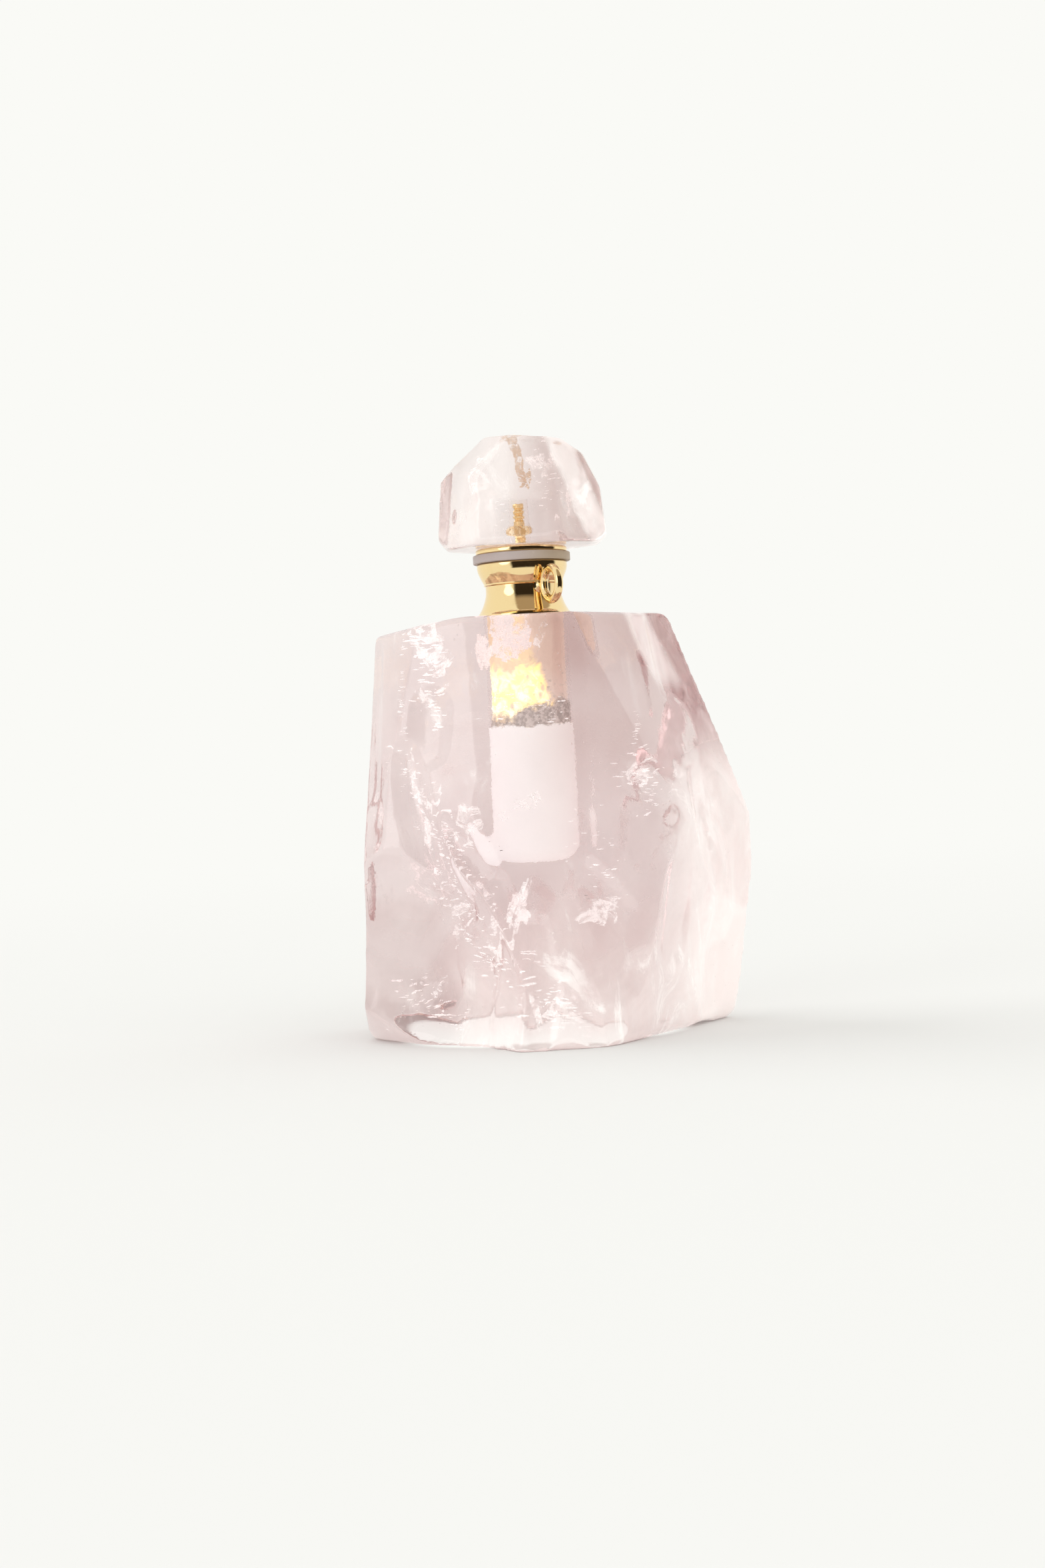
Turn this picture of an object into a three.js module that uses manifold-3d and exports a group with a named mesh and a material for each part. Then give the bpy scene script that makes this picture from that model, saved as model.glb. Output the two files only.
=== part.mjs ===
// A perfume flacon cut from one block of rose quartz. A turned brass neck is bonded into a bore drilled
// down the block, and a push-in stopper with a quartz knob carries a glass dabber down into that bore.
// Millimetres, +Z up along the bore. The origin is where the bore's axis meets the ground base.
import * as THREE from "three";
import { mergeVertices } from "three/addons/utils/BufferGeometryUtils.js";
import Module from "manifold-3d";

const wasm = await Module();
wasm.setup();

// ---- Driving dimensions -------------------------------------------------------------------------

const FIT = 0.1; // gap between bonded or seated faces
const RUN = 0.07; // radial clearance of the plug in its seal, and of the seal in the neck
const TURNED_SIDES = 40; // facets of a large turned piece
const FINE_SIDES = 20; // facets of a thin turned piece

const BLOCK_HEIGHT = 85.4; // ground base to ground top
const BORE_RADIUS = 8.4;
const BORE_FLOOR = 35.4; // height of the bore's bottom
const BORE_CORNER = 3.6; // radius of the burr's rounded end

const SLEEVE_RADIUS = 7.9;
const SLEEVE_BORE = 6.9;
const SLEEVE_BOTTOM = 63.6;
const SLEEVE_TOP = BLOCK_HEIGHT - 0.2;
const CEMENT_DROP = 1.5; // cement squeezed out below the sleeve

const FOOT_RADIUS = 9.7; // flared foot of the collar
const WAIST_RADIUS = 7.95;
const BEAD_RADIUS = 9.2;
const COLLAR_BORE = 6.1;
const COLLAR_FOOT = BLOCK_HEIGHT + 0.05;
const COLLAR_RIM = 96.5;
const SPIGOT_LENGTH = 6;

const SEAL_RADIUS = 9.9;
const SEAL_FLANGE = 1.75; // thickness of the visible washer
const SEAL_BORE = 5;
const SEAL_LENGTH = 10; // sleeve below the washer
const SEAL_RIBS = [2.4, 5, 7.6]; // how far below the washer each rib sits

const FLANGE_RADIUS = 9.3;
const FLANGE_THICKNESS = 1.1;
const SHANK_LENGTH = 11;
const BOSS_RADIUS = 3.6; // foot of the cone under the stud
const BOSS_HEIGHT = 3.6;
const STUD_RADIUS = 1.15;
const STUD_TOP = 107.6;

const ROD_RADIUS = 1.5;
const ROD_TIP_RADIUS = 2.2;
const ROD_BOTTOM = 38.2;
const ROD_SOCKET = 6; // depth of the socket in the plug

const KNOB_BOTTOM = 99.6;
const KNOB_TOP = 122.4;

const RING_RADIUS = 3.15; // centreline of the wire
const RING_WIRE = 0.85;
const RING_REACH = 12.4; // ring's centre from the axis
const RING_HEIGHT = 91.3;
const RING_AZIMUTH = -63; // degrees from +X
const LUG_RADIUS = 1.3;

// Heights that follow from the stack of seated faces.
const SEAL_BOTTOM = COLLAR_RIM + 0.03;
const SEAL_TOP = SEAL_BOTTOM + SEAL_FLANGE;
const FLANGE_BOTTOM = SEAL_TOP + 0.03;
const FLANGE_TOP = FLANGE_BOTTOM + FLANGE_THICKNESS;

// Each ground or broken face of a stone lies on one plane: at height `at` it crosses the ray at
// `azimuth` (degrees from +X) `reach` mm from the axis, and it leans in by `lean` degrees going up.
const BLOCK_FACES = [
  { azimuth: 185, reach: 14, at: 85.4, lean: 82 }, // top, worn down to the left
  { azimuth: 215, reach: 41.7, at: 0, lean: 10.8 }, // left flank
  { azimuth: 250, reach: 27.2, at: 0, lean: 4.7 }, // front left
  { azimuth: 271, reach: 25.6, at: 0, lean: 5.7 }, // front
  { azimuth: 300, reach: 26.8, at: 0, lean: 4.4 }, // front right
  { azimuth: 324, reach: 25, at: 0, lean: -7.4 }, // lower right flank, undercut
  { azimuth: 322, reach: 31, at: 38, lean: 15.2 }, // upper right flank
  { azimuth: 350, reach: 36.8, at: 0, lean: -12.5 }, // lower right end, undercut
  { azimuth: 358, reach: 45.6, at: 38, lean: 0.5 }, // right end
  { azimuth: 357, reach: 45.3, at: 49, lean: 21.4 }, // upper right end
  { azimuth: 2, reach: 32.9, at: 80.6, lean: 36 }, // right shoulder
  { azimuth: 54, reach: 35, at: 0, lean: -4 }, // lower back right
  { azimuth: 50, reach: 37.6, at: 40, lean: 14 }, // upper back right
  { azimuth: 92, reach: 30.2, at: 0, lean: 3.2 }, // back
  { azimuth: 136, reach: 46, at: 0, lean: 4.4 }, // back left
  { azimuth: 177, reach: 36.9, at: 6, lean: 4.6 }, // left end
  { azimuth: 180, reach: 35.6, at: 0, lean: -36 }, // worn lower left edge
  { azimuth: 217, reach: 24, at: 0, lean: -42 }, // worn lower left flank edge
  { azimuth: 326, reach: 24.6, at: 0.5, lean: -44 }, // worn lower right edge
];
const KNOB_FACES = [
  { azimuth: 0, reach: 0, at: 121.4, lean: 85 }, // crown
  { azimuth: 184, reach: 16.4, at: 106, lean: 4.5 }, // left end
  { azimuth: 178, reach: 9.4, at: 119.2, lean: 50 }, // left shoulder
  { azimuth: 214, reach: 13.4, at: 108, lean: 5 }, // left front
  { azimuth: 226, reach: 11, at: 117, lean: 34 }, // left front shoulder
  { azimuth: 268, reach: 11.8, at: 106, lean: 7 }, // front
  { azimuth: 312, reach: 14.2, at: 106, lean: 10 }, // right front
  { azimuth: 356, reach: 17.2, at: 106, lean: 5 }, // right end
  { azimuth: 0, reach: 15.2, at: 114, lean: 26 }, // right shoulder
  { azimuth: 2, reach: 11.4, at: 119, lean: 58 }, // right crown
  { azimuth: 44, reach: 14, at: 106, lean: 8 }, // back right
  { azimuth: 92, reach: 11.6, at: 106, lean: 9 }, // back
  { azimuth: 140, reach: 13.6, at: 106, lean: 8 }, // back left
  { azimuth: 184, reach: 15.4, at: 100.4, lean: -42 }, // worn lower left edge
  { azimuth: 356, reach: 16.4, at: 100.4, lean: -48 }, // worn lower right edge
  { azimuth: 270, reach: 12.2, at: 100.8, lean: -50 }, // worn lower front edge
];

// Shell-shaped flakes that broke away: where each ball's centre lies, its radius and how it is stretched.
const BLOCK_FLAKES = [
  { azimuth: 226, reach: 58.3, height: 12, radius: 40, tall: 1 }, // broad shell broken out of the lower left
  { azimuth: 357, reach: 67.2, height: 71.6, radius: 30, tall: 1 }, // hollow below the right shoulder
];

// ---- Helpers ------------------------------------------------------------------------------------

const rad = THREE.MathUtils.degToRad;
const at = (radius, height) => new THREE.Vector2(radius, height);

// A solid for joining and cutting, from a closed geometry.
function solidOf(geometry) {
  const bare = new THREE.BufferGeometry();
  const flat = geometry.index ? geometry.toNonIndexed() : geometry;
  bare.setAttribute("position", flat.getAttribute("position").clone());
  const merged = mergeVertices(bare, 1e-4);
  const mesh = new wasm.Mesh({
    numProp: 3,
    vertProperties: new Float32Array(merged.attributes.position.array),
    triVerts: new Uint32Array(merged.index.array),
  });
  return new wasm.Manifold(mesh);
}

// A geometry with flat faces, from a solid.
function geometryOf(solid) {
  const mesh = solid.getMesh();
  const positions = new THREE.BufferAttribute(mesh.vertProperties, 3);
  const indexed = new THREE.BufferGeometry().setAttribute("position", positions);
  indexed.setIndex(new THREE.BufferAttribute(mesh.triVerts, 1));
  const geometry = indexed.toNonIndexed();
  geometry.computeVertexNormals();
  return geometry;
}

// A piece turned about the bore's axis, from a profile that closes on itself or on the axis.
function turned(profile, sides = TURNED_SIDES) {
  return new THREE.LatheGeometry(profile, sides).rotateX(Math.PI / 2);
}

// A ring between two radii and two heights, as a closed profile.
function tube(inner, outer, bottom, top) {
  return [at(inner, bottom), at(outer, bottom), at(outer, top), at(inner, top), at(inner, bottom)];
}

// A quarter circle in a profile, from one angle in degrees to another.
function arc(radius, height, size, from, to, steps) {
  return Array.from({ length: steps + 1 }, (_, i) => {
    const angle = rad(from + ((to - from) * i) / steps);
    return at(radius + size * Math.cos(angle), height + size * Math.sin(angle));
  });
}

// What is left of a stone's rough block after each of its faces is cut.
function lapped(faces, bottom, top) {
  const size = 400;
  const rough = new THREE.BoxGeometry(size / 2, size / 2, top - bottom);
  let stone = solidOf(rough.translate(0, 0, (top + bottom) / 2));
  for (const face of faces) {
    const waste = new THREE.BoxGeometry(size, size, size).translate(size / 2, 0, 0);
    waste.rotateY(-rad(face.lean));
    waste.translate(face.reach, 0, face.at);
    waste.rotateZ(rad(face.azimuth));
    stone = stone.subtract(solidOf(waste));
  }
  return stone;
}

// The ball whose surface a flake leaves behind.
function flakeBall({ azimuth, reach, height, radius, tall }) {
  const ball = new THREE.SphereGeometry(radius, 28, 18).scale(1, 1, tall);
  ball.translate(reach, 0, height);
  return solidOf(ball.rotateZ(rad(azimuth)));
}

const polishedBrass = new THREE.MeshStandardMaterial({ color: 0xd9ab4e, roughness: 0.12, metalness: 1 });
const roseQuartz = new THREE.MeshStandardMaterial({
  color: 0xe9cfd2, roughness: 0.08, metalness: 0, transparent: true, opacity: 0.45,
});
const cement = new THREE.MeshStandardMaterial({ color: 0xcfc8c0, roughness: 0.8, metalness: 0 });
const silicone = new THREE.MeshStandardMaterial({ color: 0xa79fa3, roughness: 0.45, metalness: 0 });
const clearGlass = new THREE.MeshStandardMaterial({
  color: 0xf2f5f3, roughness: 0.05, metalness: 0, transparent: true, opacity: 0.5,
});

function piece(name, geometry, material) {
  const mesh = new THREE.Mesh(geometry, material);
  mesh.name = name;
  return mesh;
}

// ---- The flacon ---------------------------------------------------------------------------------

// The block with its flakes broken away and its blind bore drilled from the top.
function stoneBody() {
  const corner = arc(BORE_RADIUS - BORE_CORNER, BORE_FLOOR + BORE_CORNER, BORE_CORNER, -90, 0, 4);
  const drilled = turned([at(0, BORE_FLOOR), ...corner, at(BORE_RADIUS, BLOCK_HEIGHT + 5),
    at(0, BLOCK_HEIGHT + 5)]);
  let stone = lapped(BLOCK_FACES, 0, BLOCK_HEIGHT);
  for (const flake of BLOCK_FLAKES) stone = stone.subtract(flakeBall(flake));
  return piece("stone_body", geometryOf(stone.subtract(solidOf(drilled))), roseQuartz);
}

// A drawn tube bonded into the top of the bore, which the collar's spigot sits in.
function boreSleeve() {
  return piece("bore_sleeve", turned(tube(SLEEVE_BORE, SLEEVE_RADIUS, SLEEVE_BOTTOM, SLEEVE_TOP)), polishedBrass);
}

// The cement between sleeve and stone, with the bead that was squeezed out below.
function sleeveCement() {
  const outer = BORE_RADIUS - FIT;
  const inner = SLEEVE_RADIUS + FIT;
  const under = SLEEVE_BOTTOM - FIT;
  const bead = under - CEMENT_DROP;
  const profile = [at(outer, bead + 0.4), at(outer, SLEEVE_TOP - 1), at(inner, SLEEVE_TOP - 1),
    at(inner, under), at(SLEEVE_BORE + 0.3, under), at(SLEEVE_BORE + 0.5, bead + 0.5),
    at(SLEEVE_RADIUS, bead), at(outer, bead + 0.4)];
  return piece("sleeve_cement", turned(profile), cement);
}

// The outside of the collar from its foot to its rim, with `extra` added to every radius.
function collarOutside(extra = 0) {
  const points = [
    [FOOT_RADIUS, COLLAR_FOOT], [FOOT_RADIUS, COLLAR_FOOT + 0.5], [9.25, COLLAR_FOOT + 0.9],
    [8.6, COLLAR_FOOT + 1.9], [8.15, COLLAR_FOOT + 3.2], [WAIST_RADIUS, COLLAR_FOOT + 4.9],
    [8.02, COLLAR_FOOT + 6.3], [8.22, COLLAR_FOOT + 6.7], [8.3, COLLAR_FOOT + 7],
    [8.62, COLLAR_FOOT + 7.7], [9, COLLAR_FOOT + 8.6], [BEAD_RADIUS, COLLAR_FOOT + 9.5],
    [BEAD_RADIUS, COLLAR_FOOT + 10.2], [9, COLLAR_RIM - 0.25], [8.7, COLLAR_RIM],
  ];
  return points.map(([radius, height]) => at(radius + extra, height));
}

// The turned neck: flared foot on the stone, waist, bead under the seal, and a spigot in the sleeve.
function neckCollar() {
  const spigot = SLEEVE_BORE - FIT;
  const end = COLLAR_FOOT - SPIGOT_LENGTH;
  const profile = [at(COLLAR_BORE, end), at(spigot - 0.3, end), at(spigot, end + 0.4), at(spigot, COLLAR_FOOT),
    ...collarOutside(), at(COLLAR_BORE + 0.4, COLLAR_RIM), at(COLLAR_BORE, COLLAR_RIM - 0.4), at(COLLAR_BORE, end)];
  return piece("neck_collar", turned(profile), polishedBrass);
}

// The wire ring that stands out from the waist, for a tassel.
function ringGeometry(wire, around, along) {
  const ring = new THREE.TorusGeometry(RING_RADIUS, wire, around, along).rotateX(Math.PI / 2);
  return ring.translate(RING_REACH, 0, RING_HEIGHT).rotateZ(rad(RING_AZIMUTH));
}

// The brazed saddle that holds the ring on the waist.
function ringLug() {
  const waist = WAIST_RADIUS - 1;
  const length = RING_REACH - RING_RADIUS - waist;
  const stub = new THREE.CylinderGeometry(LUG_RADIUS, LUG_RADIUS * 1.15, length, 18).rotateZ(-Math.PI / 2);
  stub.translate(waist + length / 2, 0, RING_HEIGHT).rotateZ(rad(RING_AZIMUTH));
  const outside = collarOutside(0.08);
  const clearance = turned([at(0, COLLAR_FOOT), ...outside, at(0, COLLAR_RIM)]);
  const saddle = solidOf(stub).subtract(solidOf(clearance));
  return piece("ring_lug", geometryOf(saddle.subtract(solidOf(ringGeometry(RING_WIRE + 0.06, 14, 40)))), polishedBrass);
}

// The soft seal: a washer that shows between neck and stopper, over a ribbed sleeve that grips the neck.
function stopperSeal() {
  const outer = COLLAR_BORE - RUN;
  const groove = outer - 0.35;
  const end = SEAL_BOTTOM - SEAL_LENGTH;
  const ribs = SEAL_RIBS.flatMap((drop) => {
    const middle = SEAL_BOTTOM - drop;
    return [at(groove, middle + 0.55), at(outer, middle + 0.2), at(outer, middle - 0.2), at(groove, middle - 0.55)];
  }).reverse();
  const profile = [at(SEAL_BORE, end), at(groove - 0.3, end), at(groove, end + 0.5), ...ribs,
    at(groove, SEAL_BOTTOM), at(SEAL_RADIUS - 0.15, SEAL_BOTTOM), at(SEAL_RADIUS, SEAL_BOTTOM + 0.15),
    at(SEAL_RADIUS, SEAL_TOP - 0.15), at(SEAL_RADIUS - 0.15, SEAL_TOP), at(SEAL_BORE, SEAL_TOP), at(SEAL_BORE, end)];
  return piece("stopper_seal", turned(profile), silicone);
}

// The brass plug: shank in the seal, polished flange on it, and a cone that seats the stud.
function stopperPlug() {
  const shank = SEAL_BORE - RUN;
  const end = FLANGE_BOTTOM - SHANK_LENGTH;
  const socket = ROD_RADIUS + FIT;
  const stud = STUD_RADIUS + FIT;
  const deep = FLANGE_TOP - 1.5;
  const profile = [at(0, end + ROD_SOCKET), at(socket, end + ROD_SOCKET), at(socket, end), at(shank - 0.4, end),
    at(shank, end + 0.4), at(shank, FLANGE_BOTTOM), at(FLANGE_RADIUS - 0.15, FLANGE_BOTTOM),
    at(FLANGE_RADIUS, FLANGE_BOTTOM + 0.2), at(FLANGE_RADIUS, FLANGE_TOP - 0.4), at(FLANGE_RADIUS - 0.4, FLANGE_TOP),
    at(BOSS_RADIUS, FLANGE_TOP), at(stud + 0.5, FLANGE_TOP + BOSS_HEIGHT), at(stud, FLANGE_TOP + BOSS_HEIGHT),
    at(stud, deep), at(0, deep)];
  return piece("stopper_plug", turned(profile), polishedBrass);
}

// The grooved stud that the knob is bonded to.
function knobStud() {
  const bottom = FLANGE_TOP - 1.4;
  const grooves = [104.4, 105.4, 106.4].flatMap((height) => [
    at(STUD_RADIUS, height - 0.3), at(STUD_RADIUS - 0.25, height - 0.1),
    at(STUD_RADIUS - 0.25, height + 0.1), at(STUD_RADIUS, height + 0.3),
  ]);
  const profile = [at(0, bottom), at(STUD_RADIUS, bottom), ...grooves, at(STUD_RADIUS, STUD_TOP - 0.3),
    at(STUD_RADIUS - 0.3, STUD_TOP), at(0, STUD_TOP)];
  return piece("knob_stud", turned(profile, FINE_SIDES), polishedBrass);
}

// Half of the hole that is drilled and countersunk into the knob, with `less` taken off every radius.
function knobHole(less) {
  return [at(4.5 - less, KNOB_BOTTOM), at(2.1 - less, FLANGE_TOP + BOSS_HEIGHT + 0.6), at(1.9 - less, STUD_TOP + 0.9 - less)];
}

// The cement that fills the knob's hole around the stud and its cone.
function studCement() {
  const stud = STUD_RADIUS + FIT;
  const over = FLANGE_TOP + BOSS_HEIGHT + FIT;
  const outside = knobHole(FIT);
  const foot = KNOB_BOTTOM + FIT;
  outside[0].y = foot;
  const profile = [at(BOSS_RADIUS + 0.15, foot), ...outside, at(0, STUD_TOP + 0.9 - FIT), at(0, STUD_TOP + FIT),
    at(stud, STUD_TOP + FIT), at(stud, over), at(stud + 0.62, over), at(BOSS_RADIUS + 0.15, foot)];
  return piece("stud_cement", turned(profile, TURNED_SIDES), cement);
}

// The quartz knob.
function knobStone() {
  const hole = knobHole(0);
  const drilled = turned([at(0, KNOB_BOTTOM - 3), at(hole[0].x, KNOB_BOTTOM - 3), ...hole, at(0, STUD_TOP + 0.9)]);
  const stone = lapped(KNOB_FACES, KNOB_BOTTOM, KNOB_TOP);
  return piece("knob_stone", geometryOf(stone.subtract(solidOf(drilled))), roseQuartz);
}

// The glass dabber, bonded in the plug's socket.
function dabberRod() {
  const top = FLANGE_BOTTOM - SHANK_LENGTH + ROD_SOCKET - FIT;
  const tip = arc(0, ROD_BOTTOM + ROD_TIP_RADIUS, ROD_TIP_RADIUS, -90, 45, 7);
  const profile = [...tip, at(ROD_RADIUS, ROD_BOTTOM + 2.1 * ROD_TIP_RADIUS), at(ROD_RADIUS, top), at(0, top)];
  return piece("dabber_rod", turned(profile, FINE_SIDES), clearGlass);
}

const flacon = new THREE.Group();
flacon.add(stoneBody(), boreSleeve(), sleeveCement(), neckCollar(), ringLug());
flacon.add(piece("tassel_ring", ringGeometry(RING_WIRE, 14, 40), polishedBrass));

const stopper = new THREE.Group();
stopper.add(stopperSeal(), stopperPlug(), knobStud(), studCement(), knobStone(), dabberRod());
flacon.add(stopper);

export default flacon;
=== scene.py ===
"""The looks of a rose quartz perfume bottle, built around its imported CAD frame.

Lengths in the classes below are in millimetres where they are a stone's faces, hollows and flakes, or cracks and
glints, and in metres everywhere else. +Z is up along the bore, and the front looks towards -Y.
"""

import logging
import math
import random
from dataclasses import dataclass, field
from enum import Enum
from typing import Callable, Iterable, Sequence

import bmesh
import bpy
from mathutils import Matrix, Vector, noise
from mathutils.bvhtree import BVHTree
from mathutils.geometry import intersect_point_line


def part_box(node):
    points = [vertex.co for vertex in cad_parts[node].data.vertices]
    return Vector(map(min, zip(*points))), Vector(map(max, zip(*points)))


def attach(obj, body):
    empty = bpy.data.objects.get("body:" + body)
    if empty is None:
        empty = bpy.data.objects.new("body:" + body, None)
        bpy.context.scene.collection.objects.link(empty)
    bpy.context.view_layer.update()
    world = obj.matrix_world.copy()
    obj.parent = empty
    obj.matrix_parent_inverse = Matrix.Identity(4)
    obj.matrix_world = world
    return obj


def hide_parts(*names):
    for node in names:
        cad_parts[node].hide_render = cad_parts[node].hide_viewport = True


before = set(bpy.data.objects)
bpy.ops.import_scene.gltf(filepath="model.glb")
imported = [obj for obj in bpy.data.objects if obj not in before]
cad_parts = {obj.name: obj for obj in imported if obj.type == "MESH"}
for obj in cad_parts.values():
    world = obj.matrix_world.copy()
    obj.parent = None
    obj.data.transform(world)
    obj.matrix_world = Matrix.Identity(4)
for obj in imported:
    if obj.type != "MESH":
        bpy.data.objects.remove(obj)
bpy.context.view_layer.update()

MM = 0.001
LOG = logging.getLogger("perfume_bottle")


class Body(Enum):
    """The rigid bodies that pieces ride on."""

    BOTTLE = "bottle"
    SEAL = "seal"
    STOPPER = "stopper"


class Side(Enum):
    """Where one stands to look at a flake: degrees turned from the front, counter-clockwise from above."""

    FRONT = 0.0
    RIGHT = 90.0
    BACK = 180.0
    LEFT = 270.0


# ---- Shader expressions -------------------------------------------------------------------------


class Tap:
    """An output socket that Python operators work on, each adding the Math node it stands for."""

    def __init__(self, paint: "Paint", socket: bpy.types.NodeSocket) -> None:
        """Keeps the socket and the paint it belongs to."""
        self.paint = paint
        self.socket = socket

    def _math(self, operation: str, *values: "Tap | float") -> "Tap":
        """Adds one Math node."""
        return self.paint.node("ShaderNodeMath", {"operation": operation}, dict(enumerate(values)))

    def __add__(self, other: "Tap | float") -> "Tap":
        """self + other."""
        return self._math("ADD", self, other)

    def __radd__(self, other: float) -> "Tap":
        """other + self."""
        return self._math("ADD", other, self)

    def __sub__(self, other: "Tap | float") -> "Tap":
        """self - other."""
        return self._math("SUBTRACT", self, other)

    def __rsub__(self, other: float) -> "Tap":
        """other - self."""
        return self._math("SUBTRACT", other, self)

    def __mul__(self, other: "Tap | float") -> "Tap":
        """self * other."""
        return self._math("MULTIPLY", self, other)

    def __rmul__(self, other: float) -> "Tap":
        """other * self."""
        return self._math("MULTIPLY", other, self)

    def __truediv__(self, other: "Tap | float") -> "Tap":
        """self / other."""
        return self._math("DIVIDE", self, other)

    def __pow__(self, other: "Tap | float") -> "Tap":
        """self ** other."""
        return self._math("POWER", self, other)

    def step(self, low: float, high: float) -> "Tap":
        """A smooth rise from 0 where self is low to 1 where it is high, or a fall if high is below low."""
        falls = high < low
        ends = {1: min(low, high), 2: max(low, high), 3: 1.0 if falls else 0.0, 4: 0.0 if falls else 1.0}
        settings = {"interpolation_type": "SMOOTHSTEP", "clamp": True}
        return self.paint.node("ShaderNodeMapRange", settings, {0: self, **ends})

    def least(self, other: "Tap | float") -> "Tap":
        """The smaller of the two."""
        return self._math("MINIMUM", self, other)

    def most(self, other: "Tap | float") -> "Tap":
        """The larger of the two."""
        return self._math("MAXIMUM", self, other)


class Paint:
    """A material under construction, and the one method that adds its nodes."""

    def __init__(self, name: str) -> None:
        """Starts an empty node tree.

        Args:
            name: The material's name.
        """
        self.material = bpy.data.materials.new(name)
        self.material.use_nodes = True
        self.tree = self.material.node_tree
        self.tree.nodes.clear()

    def node(self, kind: str, settings: dict | None = None, values: dict | None = None, out: int | str = 0) -> Tap:
        """Adds a node.

        Args:
            kind: The node's type.
            settings: Its properties, set first. "stops" fills a colour ramp.
            values: Socket name or number to a number, colour, vector or Tap.
            out: Which output to return.

        Returns:
            The chosen output.
        """
        made = self.tree.nodes.new(kind)
        for key, value in (settings or {}).items():
            if key == "stops":
                self._fill_ramp(made.color_ramp, value)
            else:
                setattr(made, key, value)
        for key, value in (values or {}).items():
            if isinstance(value, Tap):
                self.tree.links.new(value.socket, made.inputs[key])
            else:
                made.inputs[key].default_value = value
        return Tap(self, made.outputs[out])

    @staticmethod
    def _fill_ramp(ramp: bpy.types.ColorRamp, stops: Sequence[tuple[float, tuple]]) -> None:
        """Gives a colour ramp its stops."""
        while len(ramp.elements) < len(stops):
            ramp.elements.new(1.0)
        for element, (place, colour) in zip(ramp.elements, stops):
            element.position = place
            element.color = (*colour, 1.0)

    def place(self) -> Tap:
        """Object coordinates, in metres."""
        return self.node("ShaderNodeTexCoord", out="Object")

    def axes(self, place: Tap) -> tuple[Tap, Tap, Tap]:
        """The three parts of a vector."""
        split = self.node("ShaderNodeSeparateXYZ", values={0: place})
        outputs = split.socket.node.outputs
        return Tap(self, outputs[0]), Tap(self, outputs[1]), Tap(self, outputs[2])

    def stretched(self, place: Tap, scale: tuple[float, float, float], shift: tuple = (0, 0, 0)) -> Tap:
        """Coordinates scaled and then shifted."""
        return self.node("ShaderNodeMapping", values={"Vector": place, "Scale": scale, "Location": shift})

    def noise(self, place: Tap, scale: float, detail: float = 3.0, rough: float = 0.5, warp: float = 0.0) -> Tap:
        """Smooth noise from 0 to 1, with features about 1/scale metres across."""
        values = {"Vector": place, "Scale": scale, "Detail": detail, "Roughness": rough, "Distortion": warp}
        return self.node("ShaderNodeTexNoise", values=values)

    def cells(self, place: Tap, scale: float, feature: str = "F1", uneven: float = 1.0) -> Tap:
        """Distance to the nearest cell centre or edge of a Voronoi pattern."""
        values = {"Vector": place, "Scale": scale, "Randomness": uneven}
        return self.node("ShaderNodeTexVoronoi", {"feature": feature}, values)

    def blend(self, share: "Tap | float", first: "Tap | tuple", second: "Tap | tuple") -> Tap:
        """A colour between two."""
        mixed = {0: share, 6: self._rgba(first), 7: self._rgba(second)}
        return self.node("ShaderNodeMix", {"data_type": "RGBA"}, mixed, out=2)

    @staticmethod
    def _rgba(colour: "Tap | tuple") -> "Tap | tuple":
        """A colour with its fourth part."""
        return colour if isinstance(colour, Tap) or len(colour) == 4 else (*colour, 1.0)

    def bump(self, height: Tap, strength: float, distance: float) -> Tap:
        """A normal bent by a height, where 1 stands distance metres high."""
        return self.node("ShaderNodeBump", values={"Height": height, "Strength": strength, "Distance": distance})

    def principled(self, **values: object) -> Tap:
        """A Principled shader. Underscores in the names stand for spaces."""
        sockets = {key.replace("_", " "): value for key, value in values.items()}
        for key in ("Base Color", "Emission Color"):
            if key in sockets:
                sockets[key] = self._rgba(sockets[key])
        return self.node("ShaderNodeBsdfPrincipled", values=sockets)

    def done(self, surface: Tap, volume: Tap | None = None) -> bpy.types.Material:
        """Links the output and gives the material."""
        links = {"Surface": surface} | ({"Volume": volume} if volume else {})
        self.tree.nodes.new("ShaderNodeOutputMaterial")
        output = self.tree.nodes[-1]
        for key, tap in links.items():
            self.tree.links.new(tap.socket, output.inputs[key])
        return self.material


# ---- Finishes -----------------------------------------------------------------------------------


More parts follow.
